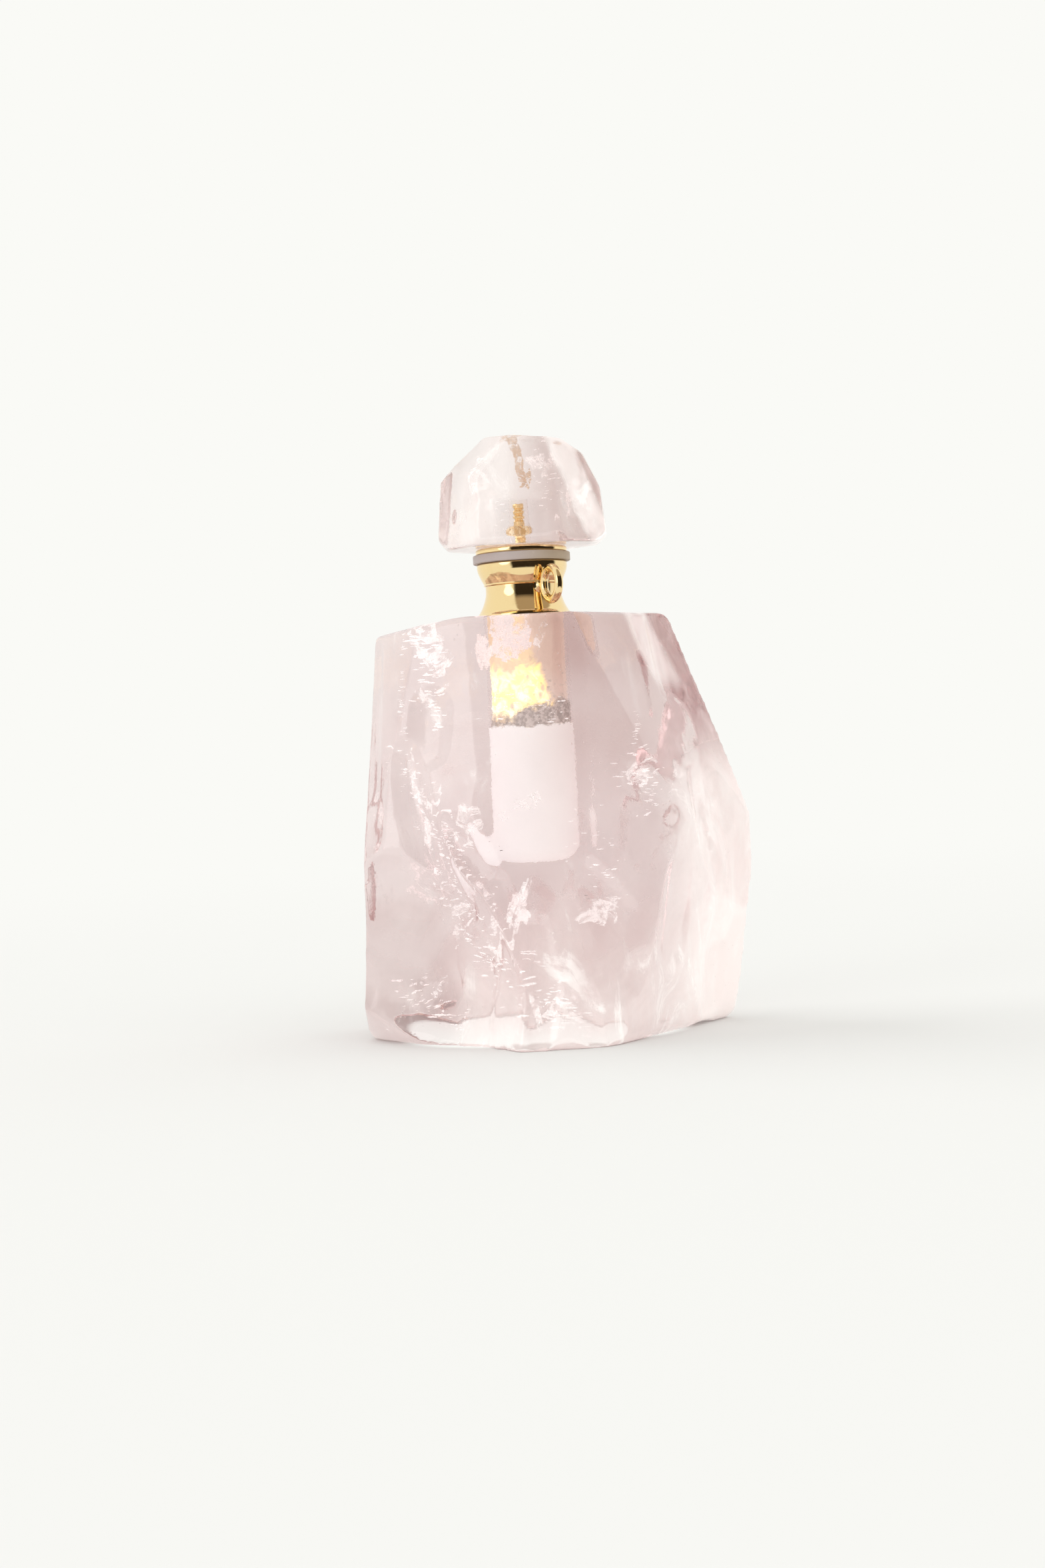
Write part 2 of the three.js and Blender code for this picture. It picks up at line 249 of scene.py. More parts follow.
@dataclass(frozen=True)
class RoseQuartz:
    """Polished rose quartz: clear, pink in its depth, with cloudy patches.

    The drilled wall is told from the polished skin by its distance from the bore's axis. It is frosted up to
    where the glue wets it, and clear above.

    Attributes:
        name: The material's name.
        wall: The hole's radius.
        low: Height of the hole's lowest point.
        wet: Height above which glue wets the wall.
        high: Height of the hole's mouth.
        tint: What the depth lets through.
        depth: How strongly it does so.
        cloud: How cloudy the stone is, from 0 to 1.
        lit: How brightly the frosted wall glows, painted light in place of the light that the stone gathers; it glows
            whiter on the left side.
        pale: How brightly the cloudy patches glow, also painted light.
        window: Height up to which the stone round the axis is free of cloud, if it is.
        skin: What the polished surface lets through.
        flare: Height below which the hole widens, and by how much per metre.
    """

    name: str
    wall: float
    low: float
    wet: float
    high: float
    tint: tuple[float, float, float] = (0.55, 0.13, 0.14)
    depth: float = 9.0
    cloud: float = 0.20
    lit: float = 0.455
    pale: float = 0.15
    window: float = 0.0
    skin: tuple[float, float, float] = (1.0, 0.990, 0.992)
    flare: tuple[float, float] = (0.0, 0.0)

    def paint(self) -> bpy.types.Material:
        """Makes the material."""
        paint = Paint(self.name)
        place = paint.place()
        x, y, z = paint.axes(place)
        widened = (self.flare[0] - z).most(0.0) * self.flare[1]
        near = ((x * x + y * y) ** 0.5 - widened).step(self.wall + 0.0004, self.wall + 0.0002)
        drilled = near * z.step(self.low - 0.0006, self.low - 0.0002) * z.step(self.high + 0.0001, self.high - 0.0001)
        ragged = (paint.noise(place, 380.0, 4.0, 0.6) - 0.5) * 0.003
        dry = (z + ragged).step(self.wet + 0.0003, self.wet - 0.0003)
        drift = paint.noise(place, 34.0, 4.0, 0.55, 0.6)
        wisps = paint.noise(paint.stretched(place, (1.0, 1.0, 0.5)), 110.0, 5.0, 0.6, 1.4)
        patchy = self.cloud * drift.step(0.34, 0.66) + 0.35 * wisps.step(0.58, 0.70) * drift.step(0.40, 0.60)
        # Milkier towards the bottom and at the right end; the cloudy part glows, so these places are also brighter.
        worn = 0.70 * x.step(0.022, 0.038) * z.step(0.066, 0.048) + 0.34 * z.step(0.034, 0.006) * x.step(-0.022, -0.012)
        stray = x + (z - 0.0843) * 0.418 - 0.0234 + (drift - 0.5) * 0.006
        patch = (stray * stray).step(0.0034**2, 0.0012**2) * z.step(0.068, 0.073)
        free = (x * x).step(0.0055**2, 0.0030**2) * z.step(self.window + 0.001, self.window - 0.001)
        upper = x.step(-0.004, 0.010) * (0.6 * z.step(0.044, 0.062) + 0.4 * z.step(0.066, 0.078)) * (1.0 - patch)
        milk = (patchy * (1.0 - 0.7 * upper) + worn + 0.35 * patch).least(0.9) * (1.0 - 0.9 * free)
        rosy = (upper + 0.35 * x.step(-0.012, -0.020) * z.step(0.036, 0.028)).least(1.0)
        skin = paint.noise(place, 380.0, 4.0, 0.6)
        pits = paint.cells(place, 800.0).step(0.18, 0.05) * paint.noise(place, 90.0, 2.0).step(0.58, 0.66)
        relief = paint.bump(skin - pits, 0.35, 0.00018)
        grain = paint.noise(place, 2600.0, 2.0)
        clear = paint.principled(
            Base_Color=paint.blend(rosy, self.skin, (0.745, 0.620, 0.600)), Roughness=0.03 + 0.06 * skin.step(0.45, 0.8), IOR=1.544,
            Transmission_Weight=1.0, Normal=relief,
        )
        cream = paint.blend(wisps.step(0.4, 0.7), (0.96, 0.87, 0.85), (0.99, 0.94, 0.92))
        # Painted light: the cloudy patches glow in their cream colour, in place of light scattered inside the stone.
        cloudy = paint.principled(
            Base_Color=cream, Roughness=0.10, IOR=1.544, Normal=relief, Emission_Color=cream,
            Emission_Strength=self.pale,
        )
        # Painted light: the frosted wall glows, whiter on the left side and greyer on the right.
        frost = paint.principled(
            Base_Color=(0.94, 0.95, 0.95), Roughness=0.7, IOR=1.544, Normal=paint.bump(grain, 0.5, 0.00008),
            Emission_Color=paint.blend(x.step(0.006, -0.008), (0.90, 0.89, 0.86), (0.98, 1.0, 1.0)),
            Emission_Strength=self.lit,
        )
        wetted = paint.principled(
            Base_Color=(0.99, 0.97, 0.96), Roughness=0.03, IOR=1.04, Transmission_Weight=1.0,
        )
        wall = paint.node("ShaderNodeMixShader", values={0: dry, 1: wetted, 2: frost})
        polished = paint.node("ShaderNodeMixShader", values={0: milk, 1: clear, 2: cloudy})
        surface = paint.node("ShaderNodeMixShader", values={0: drilled, 1: polished, 2: wall})
        volume = paint.node("ShaderNodeVolumeAbsorption", values={"Color": (*self.tint, 1.0), "Density": self.depth})
        return paint.done(surface, volume)


@dataclass(frozen=True)
class Gold:
    """Gold plating over polished brass, with faint turning lines and hairline scratches."""

    name: str
    colour: tuple[float, float, float] = (0.95, 0.735, 0.39)
    deep: tuple[float, float, float] = (0.86, 0.60, 0.28)
    roughness: float = 0.07

    def paint(self) -> bpy.types.Material:
        """Makes the material."""
        paint = Paint(self.name)
        place = paint.place()
        lines = paint.noise(paint.stretched(place, (30.0, 30.0, 2600.0)), 1.0, 2.0)
        hairs = paint.noise(paint.stretched(place, (1.0, 1.0, 0.08)), 5200.0, 2.0).step(0.62, 0.74)
        worn = paint.noise(place, 260.0, 4.0, 0.6).step(0.50, 0.78)
        shade = paint.blend(0.35 * worn, self.colour, self.deep)
        normal = paint.bump(lines + 0.4 * hairs, 0.10, 0.00003)
        surface = paint.principled(
            Base_Color=shade, Metallic=1.0, Roughness=self.roughness + 0.07 * worn + 0.08 * hairs, Normal=normal,
        )
        return paint.done(surface)


@dataclass(frozen=True)
class SetCement:
    """Grey filler that thins out to clear resin upwards, with a ragged edge."""

    name: str
    edge: float
    rise: float = 0.0030

    def paint(self) -> bpy.types.Material:
        """Makes the material."""
        paint = Paint(self.name)
        place = paint.place()
        x, _, z = paint.axes(place)
        ragged = paint.noise(place, 420.0, 5.0, 0.65, 0.8)
        height = (z - self.edge) / self.rise + 2.6 * (ragged - 0.5) - 1.1 * x.step(-0.005, 0.002)
        solid = height.step(1.0, 0.2)
        flecks = paint.noise(place, 900.0, 3.0).step(0.62, 0.70) * 0.35 * height.step(5.0, 1.0)
        grain = paint.noise(place, 1500.0, 3.0)
        shade = paint.blend(grain.step(0.40, 0.62), (0.50, 0.43, 0.40), (0.90, 0.84, 0.80))
        # Painted light: the filler glows a little in its own colour.
        surface = paint.principled(
            Base_Color=shade, Roughness=0.75, Emission_Color=shade, Emission_Strength=0.15, Alpha=(solid + flecks).least(1.0),
            Normal=paint.bump(grain + ragged, 0.8, 0.0003),
        )
        return paint.done(surface)


@dataclass(frozen=True)
class SleeveGold:
    """Gilded sleeve seen through glue, with painted light and shade: glowing gold low on one side, brown painted shade
    on the other.

    Attributes:
        name: The material's name.
        foot: Height of the sleeve's lower end.
        glow: How brightly the sleeve's painted light glows.
    """

    name: str
    foot: float
    glow: float = 1.1

    def paint(self) -> bpy.types.Material:
        """Makes the material."""
        paint = Paint(self.name)
        place = paint.place()
        x, _, z = paint.axes(place)
        crinkle = paint.noise(place, 330.0, 5.0, 0.65, 1.0)
        folds = paint.cells(paint.stretched(place, (1.0, 1.0, 0.6)), 420.0)
        height = z - self.foot + (crinkle - 0.5) * 0.011
        # Painted shade: brown on the right side in place of the sleeve in shadow, gold on the left.
        left = (x + height * 0.30).step(0.0062, 0.0048)
        lit = left * height.step(0.0010, 0.0026) * height.step(0.0122, 0.0092)
        shade = paint.blend(left, (0.80, 0.68, 0.58), (0.98, 0.82, 0.50))
        light = paint.blend(crinkle.step(0.42, 0.62), (1.0, 0.72, 0.22), (1.0, 0.96, 0.72))
        # Painted light: the whole sleeve glows faintly, and a patch low on the gold side glows brightly.
        surface = paint.principled(
            Base_Color=shade, Metallic=0.9, Roughness=0.30 + 0.2 * crinkle,
            Emission_Color=paint.blend(lit * folds.step(0.05, 0.30), (0.30, 0.25, 0.22), light),
            Emission_Strength=self.glow, Normal=paint.bump(crinkle + folds, 0.5, 0.0004),
        )
        return paint.done(surface)


@dataclass(frozen=True)
class ClearResin:
    """Glue in the knob: clear round the stud, and a crinkled film with gold showing through on the cone."""

    name: str
    top: float

    def paint(self) -> bpy.types.Material:
        """Makes the material."""
        paint = Paint(self.name)
        place = paint.place()
        crinkle = paint.cells(place, 1100.0)
        cone = paint.axes(place)[2].step(self.top + 0.0004, self.top - 0.0004)
        film = paint.noise(place, 900.0, 4.0, 0.7)
        shade = paint.blend(film.step(0.40, 0.60), (0.62, 0.40, 0.16), (1.0, 0.90, 0.66))
        # Painted light: the film glows in its own golden shade, in place of the lit gold beneath.
        surface = paint.principled(
            Base_Color=shade, Roughness=0.20 + 0.3 * film, Metallic=0.3, Alpha=(0.04 + 0.84 * cone) * crinkle.step(0.30, 0.55),
            Emission_Color=shade, Emission_Strength=0.35,
            Normal=paint.bump(crinkle + film, 0.8, 0.0004),
        )
        return paint.done(surface)


@dataclass(frozen=True)
class Silicone:
    """Satin grey silicone with moulding grain, a little dust, and a painted reflection of the gold that turns it tan on
    the right.
    """

    name: str
    colour: tuple[float, float, float] = (0.50, 0.42, 0.40)

    def paint(self) -> bpy.types.Material:
        """Makes the material."""
        paint = Paint(self.name)
        place = paint.place()
        grain = paint.noise(place, 2400.0, 3.0)
        dust = paint.noise(place, 700.0, 4.0, 0.7).step(0.60, 0.75)
        pale = tuple(min(1.0, part * 1.5) for part in self.colour)
        # Painted reflection: the grey turns tan on the right, standing in for the gold mirrored in it.
        grey_with_painted_reflection = paint.blend(paint.axes(place)[0].step(-0.003, 0.009), self.colour, (0.47, 0.37, 0.25))
        surface = paint.principled(
            Base_Color=paint.blend(0.4 * dust, grey_with_painted_reflection, pale), Roughness=0.34 + 0.2 * grain,
            Specular_IOR_Level=0.6, Normal=paint.bump(grain, 0.15, 0.00005),
        )
        return paint.done(surface)


@dataclass(frozen=True)
class DabberGlass:
    """Fire-polished clear glass with a faint drawn ripple."""

    name: str

    def paint(self) -> bpy.types.Material:
        """Makes the material."""
        paint = Paint(self.name)
        place = paint.place()
        ripple = paint.noise(paint.stretched(place, (300.0, 300.0, 25.0)), 1.0, 2.0)
        surface = paint.principled(
            Base_Color=(0.98, 0.99, 0.985), Roughness=0.01 + 0.03 * ripple, IOR=1.50, Transmission_Weight=1.0,
            Normal=paint.bump(ripple, 0.2, 0.0001),
        )
        return paint.done(surface)


@dataclass(frozen=True)
class Veil:
    """A healed crack inside the stone: white film that comes and goes, glowing with painted light for its glints."""

    name: str
    colour: tuple[float, float, float] = (1.0, 0.97, 0.96)
    cover: float = 0.55
    scale: float = 160.0
    glow: float = 0.45

    def paint(self) -> bpy.types.Material:
        """Makes the material."""
        paint = Paint(self.name)
        place = paint.place()
        film = paint.noise(place, self.scale, 6.0, 0.65, 1.6)
        crinkle = paint.noise(place, self.scale * 5.0, 4.0, 0.7)
        edge = 0.66 - 0.32 * self.cover
        shown = film.step(edge, edge + 0.08) * crinkle.step(0.28, 0.55)
        # Painted light: the film glows in its own colour.
        surface = paint.principled(
            Base_Color=self.colour, Roughness=0.18 + 0.3 * crinkle, Alpha=shown * self.cover,
            Emission_Color=self.colour, Emission_Strength=self.glow, Normal=paint.bump(crinkle, 0.9, 0.0006),
        )
        return paint.done(surface)


# ---- Making meshes ------------------------------------------------------------------------------


def arc(radius: float, height: float, size: float, start: float, end: float, steps: int = 8) -> list[tuple]:
    """Points of an outline on a circular arc.

    Args:
        radius: The arc centre's distance from the axis.
        height: The arc centre's height.
        size: The arc's own radius.
        start: First angle, in degrees from outwards.
        end: Last angle.
        steps: How many chords.

    Returns:
        Pairs of radius and height.
    """
    angles = [math.radians(start + (end - start) * i / steps) for i in range(steps + 1)]
    return [(radius + size * math.cos(a), height + size * math.sin(a)) for a in angles]


def curve_through(points: Sequence[tuple[float, float]], per_span: int = 6) -> list[tuple]:
    """A smooth outline through a few points.

    Args:
        points: Pairs of radius and height.
        per_span: How many chords between two points.

    Returns:
        The finer list of pairs.
    """
    ends = [points[0], *points, points[-1]]
    fine = []
    for before, first, second, after in zip(ends, ends[1:], ends[2:], ends[3:]):
        for i in range(per_span):
            t = i / per_span
            fine.append(tuple(
                0.5 * (2 * b + (c - a) * t + (2 * a - 5 * b + 4 * c - d) * t**2 + (3 * b - a - 3 * c + d) * t**3)
                for a, b, c, d in zip(before, first, second, after)
            ))
    return [*fine, points[-1]]


def object_from(name: str, bm: bmesh.types.BMesh, crease: float = 40.0) -> bpy.types.Object:
    """Puts a bmesh in the scene as a smooth-shaded object.

    Args:
        name: The piece's name.
        bm: The mesh, which is freed.
        crease: Edges sharper than this many degrees stay sharp.

    Returns:
        The new object.
    """
    mesh = bpy.data.meshes.new(name)
    bm.to_mesh(mesh)
    bm.free()
    mesh.shade_smooth()
    mesh.set_sharp_from_angle(angle=math.radians(crease))
    made = bpy.data.objects.new(name, mesh)
    bpy.context.scene.collection.objects.link(made)
    return made


def settle(made: bpy.types.Object) -> None:
    """Applies every modifier of an object to its mesh."""
    graph = bpy.context.evaluated_depsgraph_get()
    mesh = bpy.data.meshes.new_from_object(made.evaluated_get(graph))
    made.modifiers.clear()
    made.data = mesh


def take_away(made: bpy.types.Object, tool: bpy.types.Object) -> None:
    """Cuts one object out of another and removes it.

    Args:
        made: What stays.
        tool: What is cut out of it.
    """
    cut = made.modifiers.new("cut", "BOOLEAN")
    cut.operation, cut.object, cut.solver = "DIFFERENCE", tool, "EXACT"
    settle(made)
    bpy.data.objects.remove(tool)


def turned(outline: Sequence[tuple[float, float]], steps: int = 128) -> bmesh.types.BMesh:
    """Spins an outline round the bore's axis.

    Args:
        outline: Pairs of radius and height. It closes on itself, or on the axis at both ends.
        steps: How many facets the round has.

    Returns:
        A closed mesh that faces outwards.
    """
    bm = bmesh.new()
    verts = [bm.verts.new((radius, 0.0, height)) for radius, height in outline]
    on_axis = outline[0][0] == 0.0 and outline[-1][0] == 0.0
    pairs = list(zip(verts, verts[1:])) + ([] if on_axis else [(verts[-1], verts[0])])
    edges = [bm.edges.new(pair) for pair in pairs]
    bmesh.ops.spin(
        bm, geom=verts + edges, cent=(0, 0, 0), axis=(0, 0, 1), dvec=(0, 0, 0), angle=math.tau, steps=steps,
        use_merge=True,
    )
    bmesh.ops.remove_doubles(bm, verts=bm.verts, dist=1e-7)
    bmesh.ops.recalc_face_normals(bm, faces=bm.faces)
    return bm


def dress(made: bpy.types.Object, body: Body, finish: bpy.types.Material, slot: str, *nodes: str) -> bpy.types.Object:
    """Gives a piece its finish, its body and the CAD nodes it stands for.

    Args:
        made: The piece.
        body: What it rides on.
        finish: Its material.
        slot: The record's material slot; not used.
        nodes: CAD nodes that it replaces.

    Returns:
        The piece.
    """
    made.data.materials.clear()
    made.data.materials.append(finish)
    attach(made, body.value)
    if nodes:
        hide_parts(*nodes)
    LOG.info("%s: %d faces on %s", made.name, len(made.data.polygons), body.value)
    return made


# ---- The stones ---------------------------------------------------------------------------------


@dataclass(frozen=True)
class Face:
    """One ground or broken face, as the CAD has it: millimetres and degrees."""

    azimuth: float
    reach: float
    at: float
    lean: float

    def plane(self) -> tuple[Vector, Vector]:
        """A point on the face, in metres, and its outward normal."""
        azimuth, lean = math.radians(self.azimuth), math.radians(self.lean)
        outward = Vector((math.cos(azimuth), math.sin(azimuth), 0.0))
        point = outward * self.reach + Vector((0, 0, self.at))
        return point * MM, outward * math.cos(lean) + Vector((0, 0, math.sin(lean)))


@dataclass(frozen=True)
class Flake:
    """A hollow where a shell of stone broke away, along a path seen from one side. Millimetres.

    Attributes:
        path: Across and height of each point of its middle line, as seen from the side.
        radius: How round the hollow is.
        depth: How deep it goes at its middle.
        side: Where one stands to see it.
        ripple: Height of the rings in it.
    """

    path: tuple[tuple[float, float], ...]
    radius: float
    depth: float
    side: Side = Side.FRONT
    ripple: float = 0.0

    def centres(self, tree: BVHTree) -> list[Vector]:
        """The middle line, lifted off the stone by the radius less the depth."""
        turn = Matrix.Rotation(math.radians(self.side.value), 3, "Z")
        look = turn @ Vector((0, 1, 0))
        found = []
        for across, height in self.path:
            start = turn @ (Vector((across, -200.0, height)) * MM)
            spot, normal, _, _ = tree.ray_cast(start, look)
            if spot is not None:
                found.append(spot + normal * (self.radius - self.depth) * MM)
        return found

    def carve(self, bm: bmesh.types.BMesh, tree: BVHTree) -> None:
        """Pushes the stone's skin out of the ball that runs along the path."""
        line = self.centres(tree)
        radius = self.radius * MM
        for vert in bm.verts if line else ():
            near = min((self._nearest(vert.co, pair) for pair in self._spans(line)), key=lambda p: (vert.co - p).length)
            away = vert.co - near
            if away.length < radius:
                rings = math.sin(away.length / MM * 4.0) * self.ripple * MM
                vert.co = near + away.normalized() * (radius + rings)

    @staticmethod
    def _spans(line: list[Vector]) -> list[tuple[Vector, Vector]]:
        """The line's stretches, or its one point twice."""
        return list(zip(line, line[1:])) or [(line[0], line[0])]

    @staticmethod
    def _nearest(point: Vector, span: tuple[Vector, Vector]) -> Vector:
        """The point of a stretch that is nearest."""
        first, second = span
        if (second - first).length < 1e-9:
            return first
        spot, share = intersect_point_line(point, first, second)
        return first if share < 0 else second if share > 1 else spot


@dataclass(frozen=True)
class Hollow:
    """A broad shell-shaped break, as the CAD has it: its ball's centre and radius, in millimetres and degrees."""

    azimuth: float
    reach: float
    height: float
    radius: float

    def ball(self) -> bpy.types.Object:
        """The ball to take away."""
        azimuth = math.radians(self.azimuth)
        centre = Vector((self.reach * math.cos(azimuth), self.reach * math.sin(azimuth), self.height)) * MM
        bm = bmesh.new()
        place = Matrix.Translation(centre)
        bmesh.ops.create_icosphere(bm, subdivisions=5, radius=self.radius * MM, matrix=place)
        return object_from("ball", bm)


@dataclass
class Stone:
    """A lapped and tumbled stone with a hole drilled up or down its axis.

    Attributes:
        node: The CAD node it replaces.
        faces: Its ground and broken faces.
        hollows: Broad breaks, taken out before the edges wear.
        flakes: Smaller hollows.
        voxel: Size of the mesh's faces.
        rounding: How many passes of tumbling wear its edges.
        swell: Height of the slow unevenness of its polish.
        scars: How many small flakes lie scattered on it.
        scar_size: Smallest and largest radius of those, in millimetres.
        seed: What scatters them.
    """

    node: str
    faces: tuple[Face, ...]
    hollows: tuple[Hollow, ...]
    flakes: tuple[Flake, ...]
    voxel: float
    rounding: int
    swell: float
    scars: int
    scar_size: tuple[float, float]
    seed: int

    def blank(self) -> bpy.types.Object:
        """The rough block with each face cut, as a fine and even mesh."""
        low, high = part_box(self.node)
        bm = bmesh.new()
        size = Vector((0.2, 0.2, high.z - low.z))
        middle = Matrix.Translation((0, 0, (low.z + high.z) / 2))
        bmesh.ops.create_cube(bm, size=1.0, matrix=middle @ Matrix.Diagonal((*size, 1.0)))
        for face in self.faces:
            point, outward = face.plane()
            geom = [*bm.verts, *bm.edges, *bm.faces]
            cut = bmesh.ops.bisect_plane(bm, geom=geom, dist=1e-6, plane_co=point, plane_no=outward, clear_outer=True)
            rim = [item for item in cut["geom_cut"] if isinstance(item, bmesh.types.BMEdge)]
            if rim:
                bmesh.ops.edgeloop_fill(bm, edges=rim)
        made = object_from(self.node + "_skin", bm)
        for hollow in self.hollows:
            take_away(made, hollow.ball())
        remesh = made.modifiers.new("even", "REMESH")
        remesh.mode, remesh.voxel_size = "VOXEL", self.voxel
        settle(made)
        return made

    def worn(self) -> bmesh.types.BMesh:
        """The blank after flaking, tumbling and polishing."""
        blank = self.blank()
        bm = bmesh.new()
        bm.from_mesh(blank.data)
        bpy.data.objects.remove(blank)
        self._tumble(bm, self.rounding)
        tree = BVHTree.FromBMesh(bm)
        for flake in [*self._scattered(), *self.flakes]:
            flake.carve(bm, tree)
        self._tumble(bm, 2)
        self._uneven(bm)
        return bm

    @staticmethod
    def _tumble(bm: bmesh.types.BMesh, passes: int) -> None:
        """Wears the edges round."""
        for _ in range(passes):
            bmesh.ops.smooth_vert(bm, verts=bm.verts, factor=0.5, use_axis_x=True, use_axis_y=True, use_axis_z=True)

    def _scattered(self) -> list[Flake]:
        """Small flakes scattered over the sides."""
        low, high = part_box(self.node)
        dice = random.Random(self.seed)
        reach = max(high.x, -low.x) / MM
        made = []
        for _ in range(self.scars):
            radius = dice.uniform(*self.scar_size)
            spot = (dice.uniform(-reach, reach), dice.uniform(low.z, high.z) / MM)
            made.append(Flake((spot,), radius, radius * dice.uniform(0.015, 0.04), dice.choice(list(Side))))
        return made

    def _uneven(self, bm: bmesh.types.BMesh) -> None:
        """Adds the slow unevenness of a hand polish, but keeps the ground top and base flat."""
        low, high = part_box(self.node)
        for vert in bm.verts:
            flat = min((vert.co.z - low.z) / 0.003, (high.z - vert.co.z) / 0.003, 1.0)
            wave = noise.noise(vert.co * 70.0) + 0.5 * noise.noise(vert.co * 160.0)
            vert.co -= vert.normal * self.swell * max(flat, 0.0) * (0.75 + 0.5 * wave)

    def drilled(self, name: str, outline: Sequence[tuple[float, float]]) -> bpy.types.Object:
        """The finished stone with its hole.

        Args:
            name: The piece's name.
            outline: Half of the hole, from the axis to the axis.

        Returns:
            The stone.
        """
        made = object_from(name, self.worn())
        take_away(made, object_from("drill", turned(outline, 72)))
        made.data.shade_smooth()
        made.data.set_sharp_from_angle(angle=math.radians(50.0))
        return made


BLOCK_FACES = (
    Face(185, 14, 85.4, 82), Face(215, 41.7, 0, 10.8), Face(250, 27.2, 0, 4.7), Face(271, 25.6, 0, 5.7),
    Face(300, 26.8, 0, 4.4), Face(324, 25, 0, -7.4), Face(322, 31, 38, 15.2), Face(350, 36.8, 0, -12.5),
    Face(358, 45.6, 38, 0.5), Face(357, 45.3, 49, 21.4), Face(2, 32.9, 80.6, 36), Face(54, 35, 0, -4),
    Face(50, 37.6, 40, 14), Face(92, 30.2, 0, 3.2), Face(136, 46, 0, 4.4), Face(177, 36.9, 6, 4.6),
    Face(180, 35.6, 0, -36), Face(217, 24, 0, -42), Face(326, 24.6, 0.5, -44),
)
KNOB_FACES = (
    Face(0, 0, 121.4, 85), Face(184, 16.4, 106, 4.5), Face(178, 9.4, 119.2, 50), Face(214, 13.4, 108, 5),
    Face(226, 11, 117, 34), Face(268, 11.8, 106, 7), Face(312, 14.2, 106, 10), Face(356, 17.2, 106, 5),
    Face(0, 15.2, 114, 26), Face(2, 11.4, 119, 58), Face(44, 14, 106, 8), Face(92, 11.6, 106, 9),
    Face(140, 13.6, 106, 8), Face(184, 15.4, 100.4, -42), Face(356, 16.4, 100.4, -48),
    Face(270, 12.2, 100.8, -50),
)
BLOCK_HOLLOWS = (Hollow(226, 58.3, 12, 40), Hollow(357, 67.2, 71.6, 30))
BLOCK_FLAKES = (
    Flake(((-19.5, 67), (-20.5, 60)), 11, 1.1),
    Flake(((-31, 78), (-33, 52)), 16, 0.9),
    Flake(((-25, 58), (-23.5, 47), (-19, 36), (-15.5, 28)), 5.5, 1.7, ripple=0.08),
    Flake(((-16, 42), (-11, 36)), 8, 1.5, ripple=0.10),
    Flake(((-16, 32),), 5.5, 1.0),
    Flake(((-9, 32), (-5, 20)), 7, 1.2, ripple=0.06),
    Flake(((-20, 26), (-22, 14)), 13, 1.8),
    Flake(((-30, 32),), 26, 0.9),
    Flake(((-12, 14), (-14, 6)), 9, 1.3, ripple=0.08),
    Flake(((-27, 8), (-14, 2)), 9, 1.2),
    Flake(((-1, 24), (1, 12), (-1, 3)), 6, 0.9, ripple=0.05),
    Flake(((8, 9), (10, 1)), 9, 0.8),
    Flake(((10, 32), (16, 24)), 20, 0.8),
    Flake(((19, 14),), 14, 0.9),
    Flake(((27, 84), (29, 70)), 9, 1.0),
    Flake(((22, 75), (23, 66)), 10, 0.5),
    Flake(((37, 74), (40, 62)), 8, 0.8),
    Flake(((34, 50), (35, 40), (38, 30)), 7, 1.3, ripple=0.08),
    Flake(((40, 44), (42, 26)), 9, 1.0, ripple=0.06),
    Flake(((28, 32), (26, 18)), 15, 1.2),
    Flake(((20, 52), (26, 46)), 8, 0.9, ripple=0.08),
    Flake(((36, 14), (34, 4)), 11, 0.9),
    Flake(((0, 70),), 30, 1.0, Side.BACK),
    Flake(((-24, 60), (-14, 40), (-8, 18)), 11, 1.5, Side.BACK, 0.06),
    Flake(((18, 50), (24, 30)), 14, 1.4, Side.BACK),
    Flake(((10, 20), (2, 4)), 12, 1.1, Side.BACK, 0.06),
    Flake(((26, 72),), 16, 1.0, Side.BACK),
    Flake(((0, 52), (6, 34), (2, 12)), 12, 0.6, Side.RIGHT, 0.06),
    Flake(((14, 60), (20, 44)), 12, 0.6, Side.RIGHT),
    Flake(((0, 40),), 40, 0.3, Side.LEFT),
)
KNOB_FLAKES = (
    Flake(((-11, 118), (-9.5, 108)), 7, 0.7),
    Flake(((-12, 106),), 8, 0.5),
    Flake(((5, 112),), 18, 0.5),
    Flake(((11, 108),), 10, 0.6),
    Flake(((0, 110),), 20, 0.7, Side.BACK),
)


# ---- Things inside the stones -------------------------------------------------------------------


def inside(stone: BVHTree, point: Vector, margin: float) -> bool:
    """Whether a point lies inside a skin, at least a margin from it."""
    spot, normal, _, distance = stone.find_nearest(point)
    return distance > margin and (point - spot).dot(normal) < 0.0


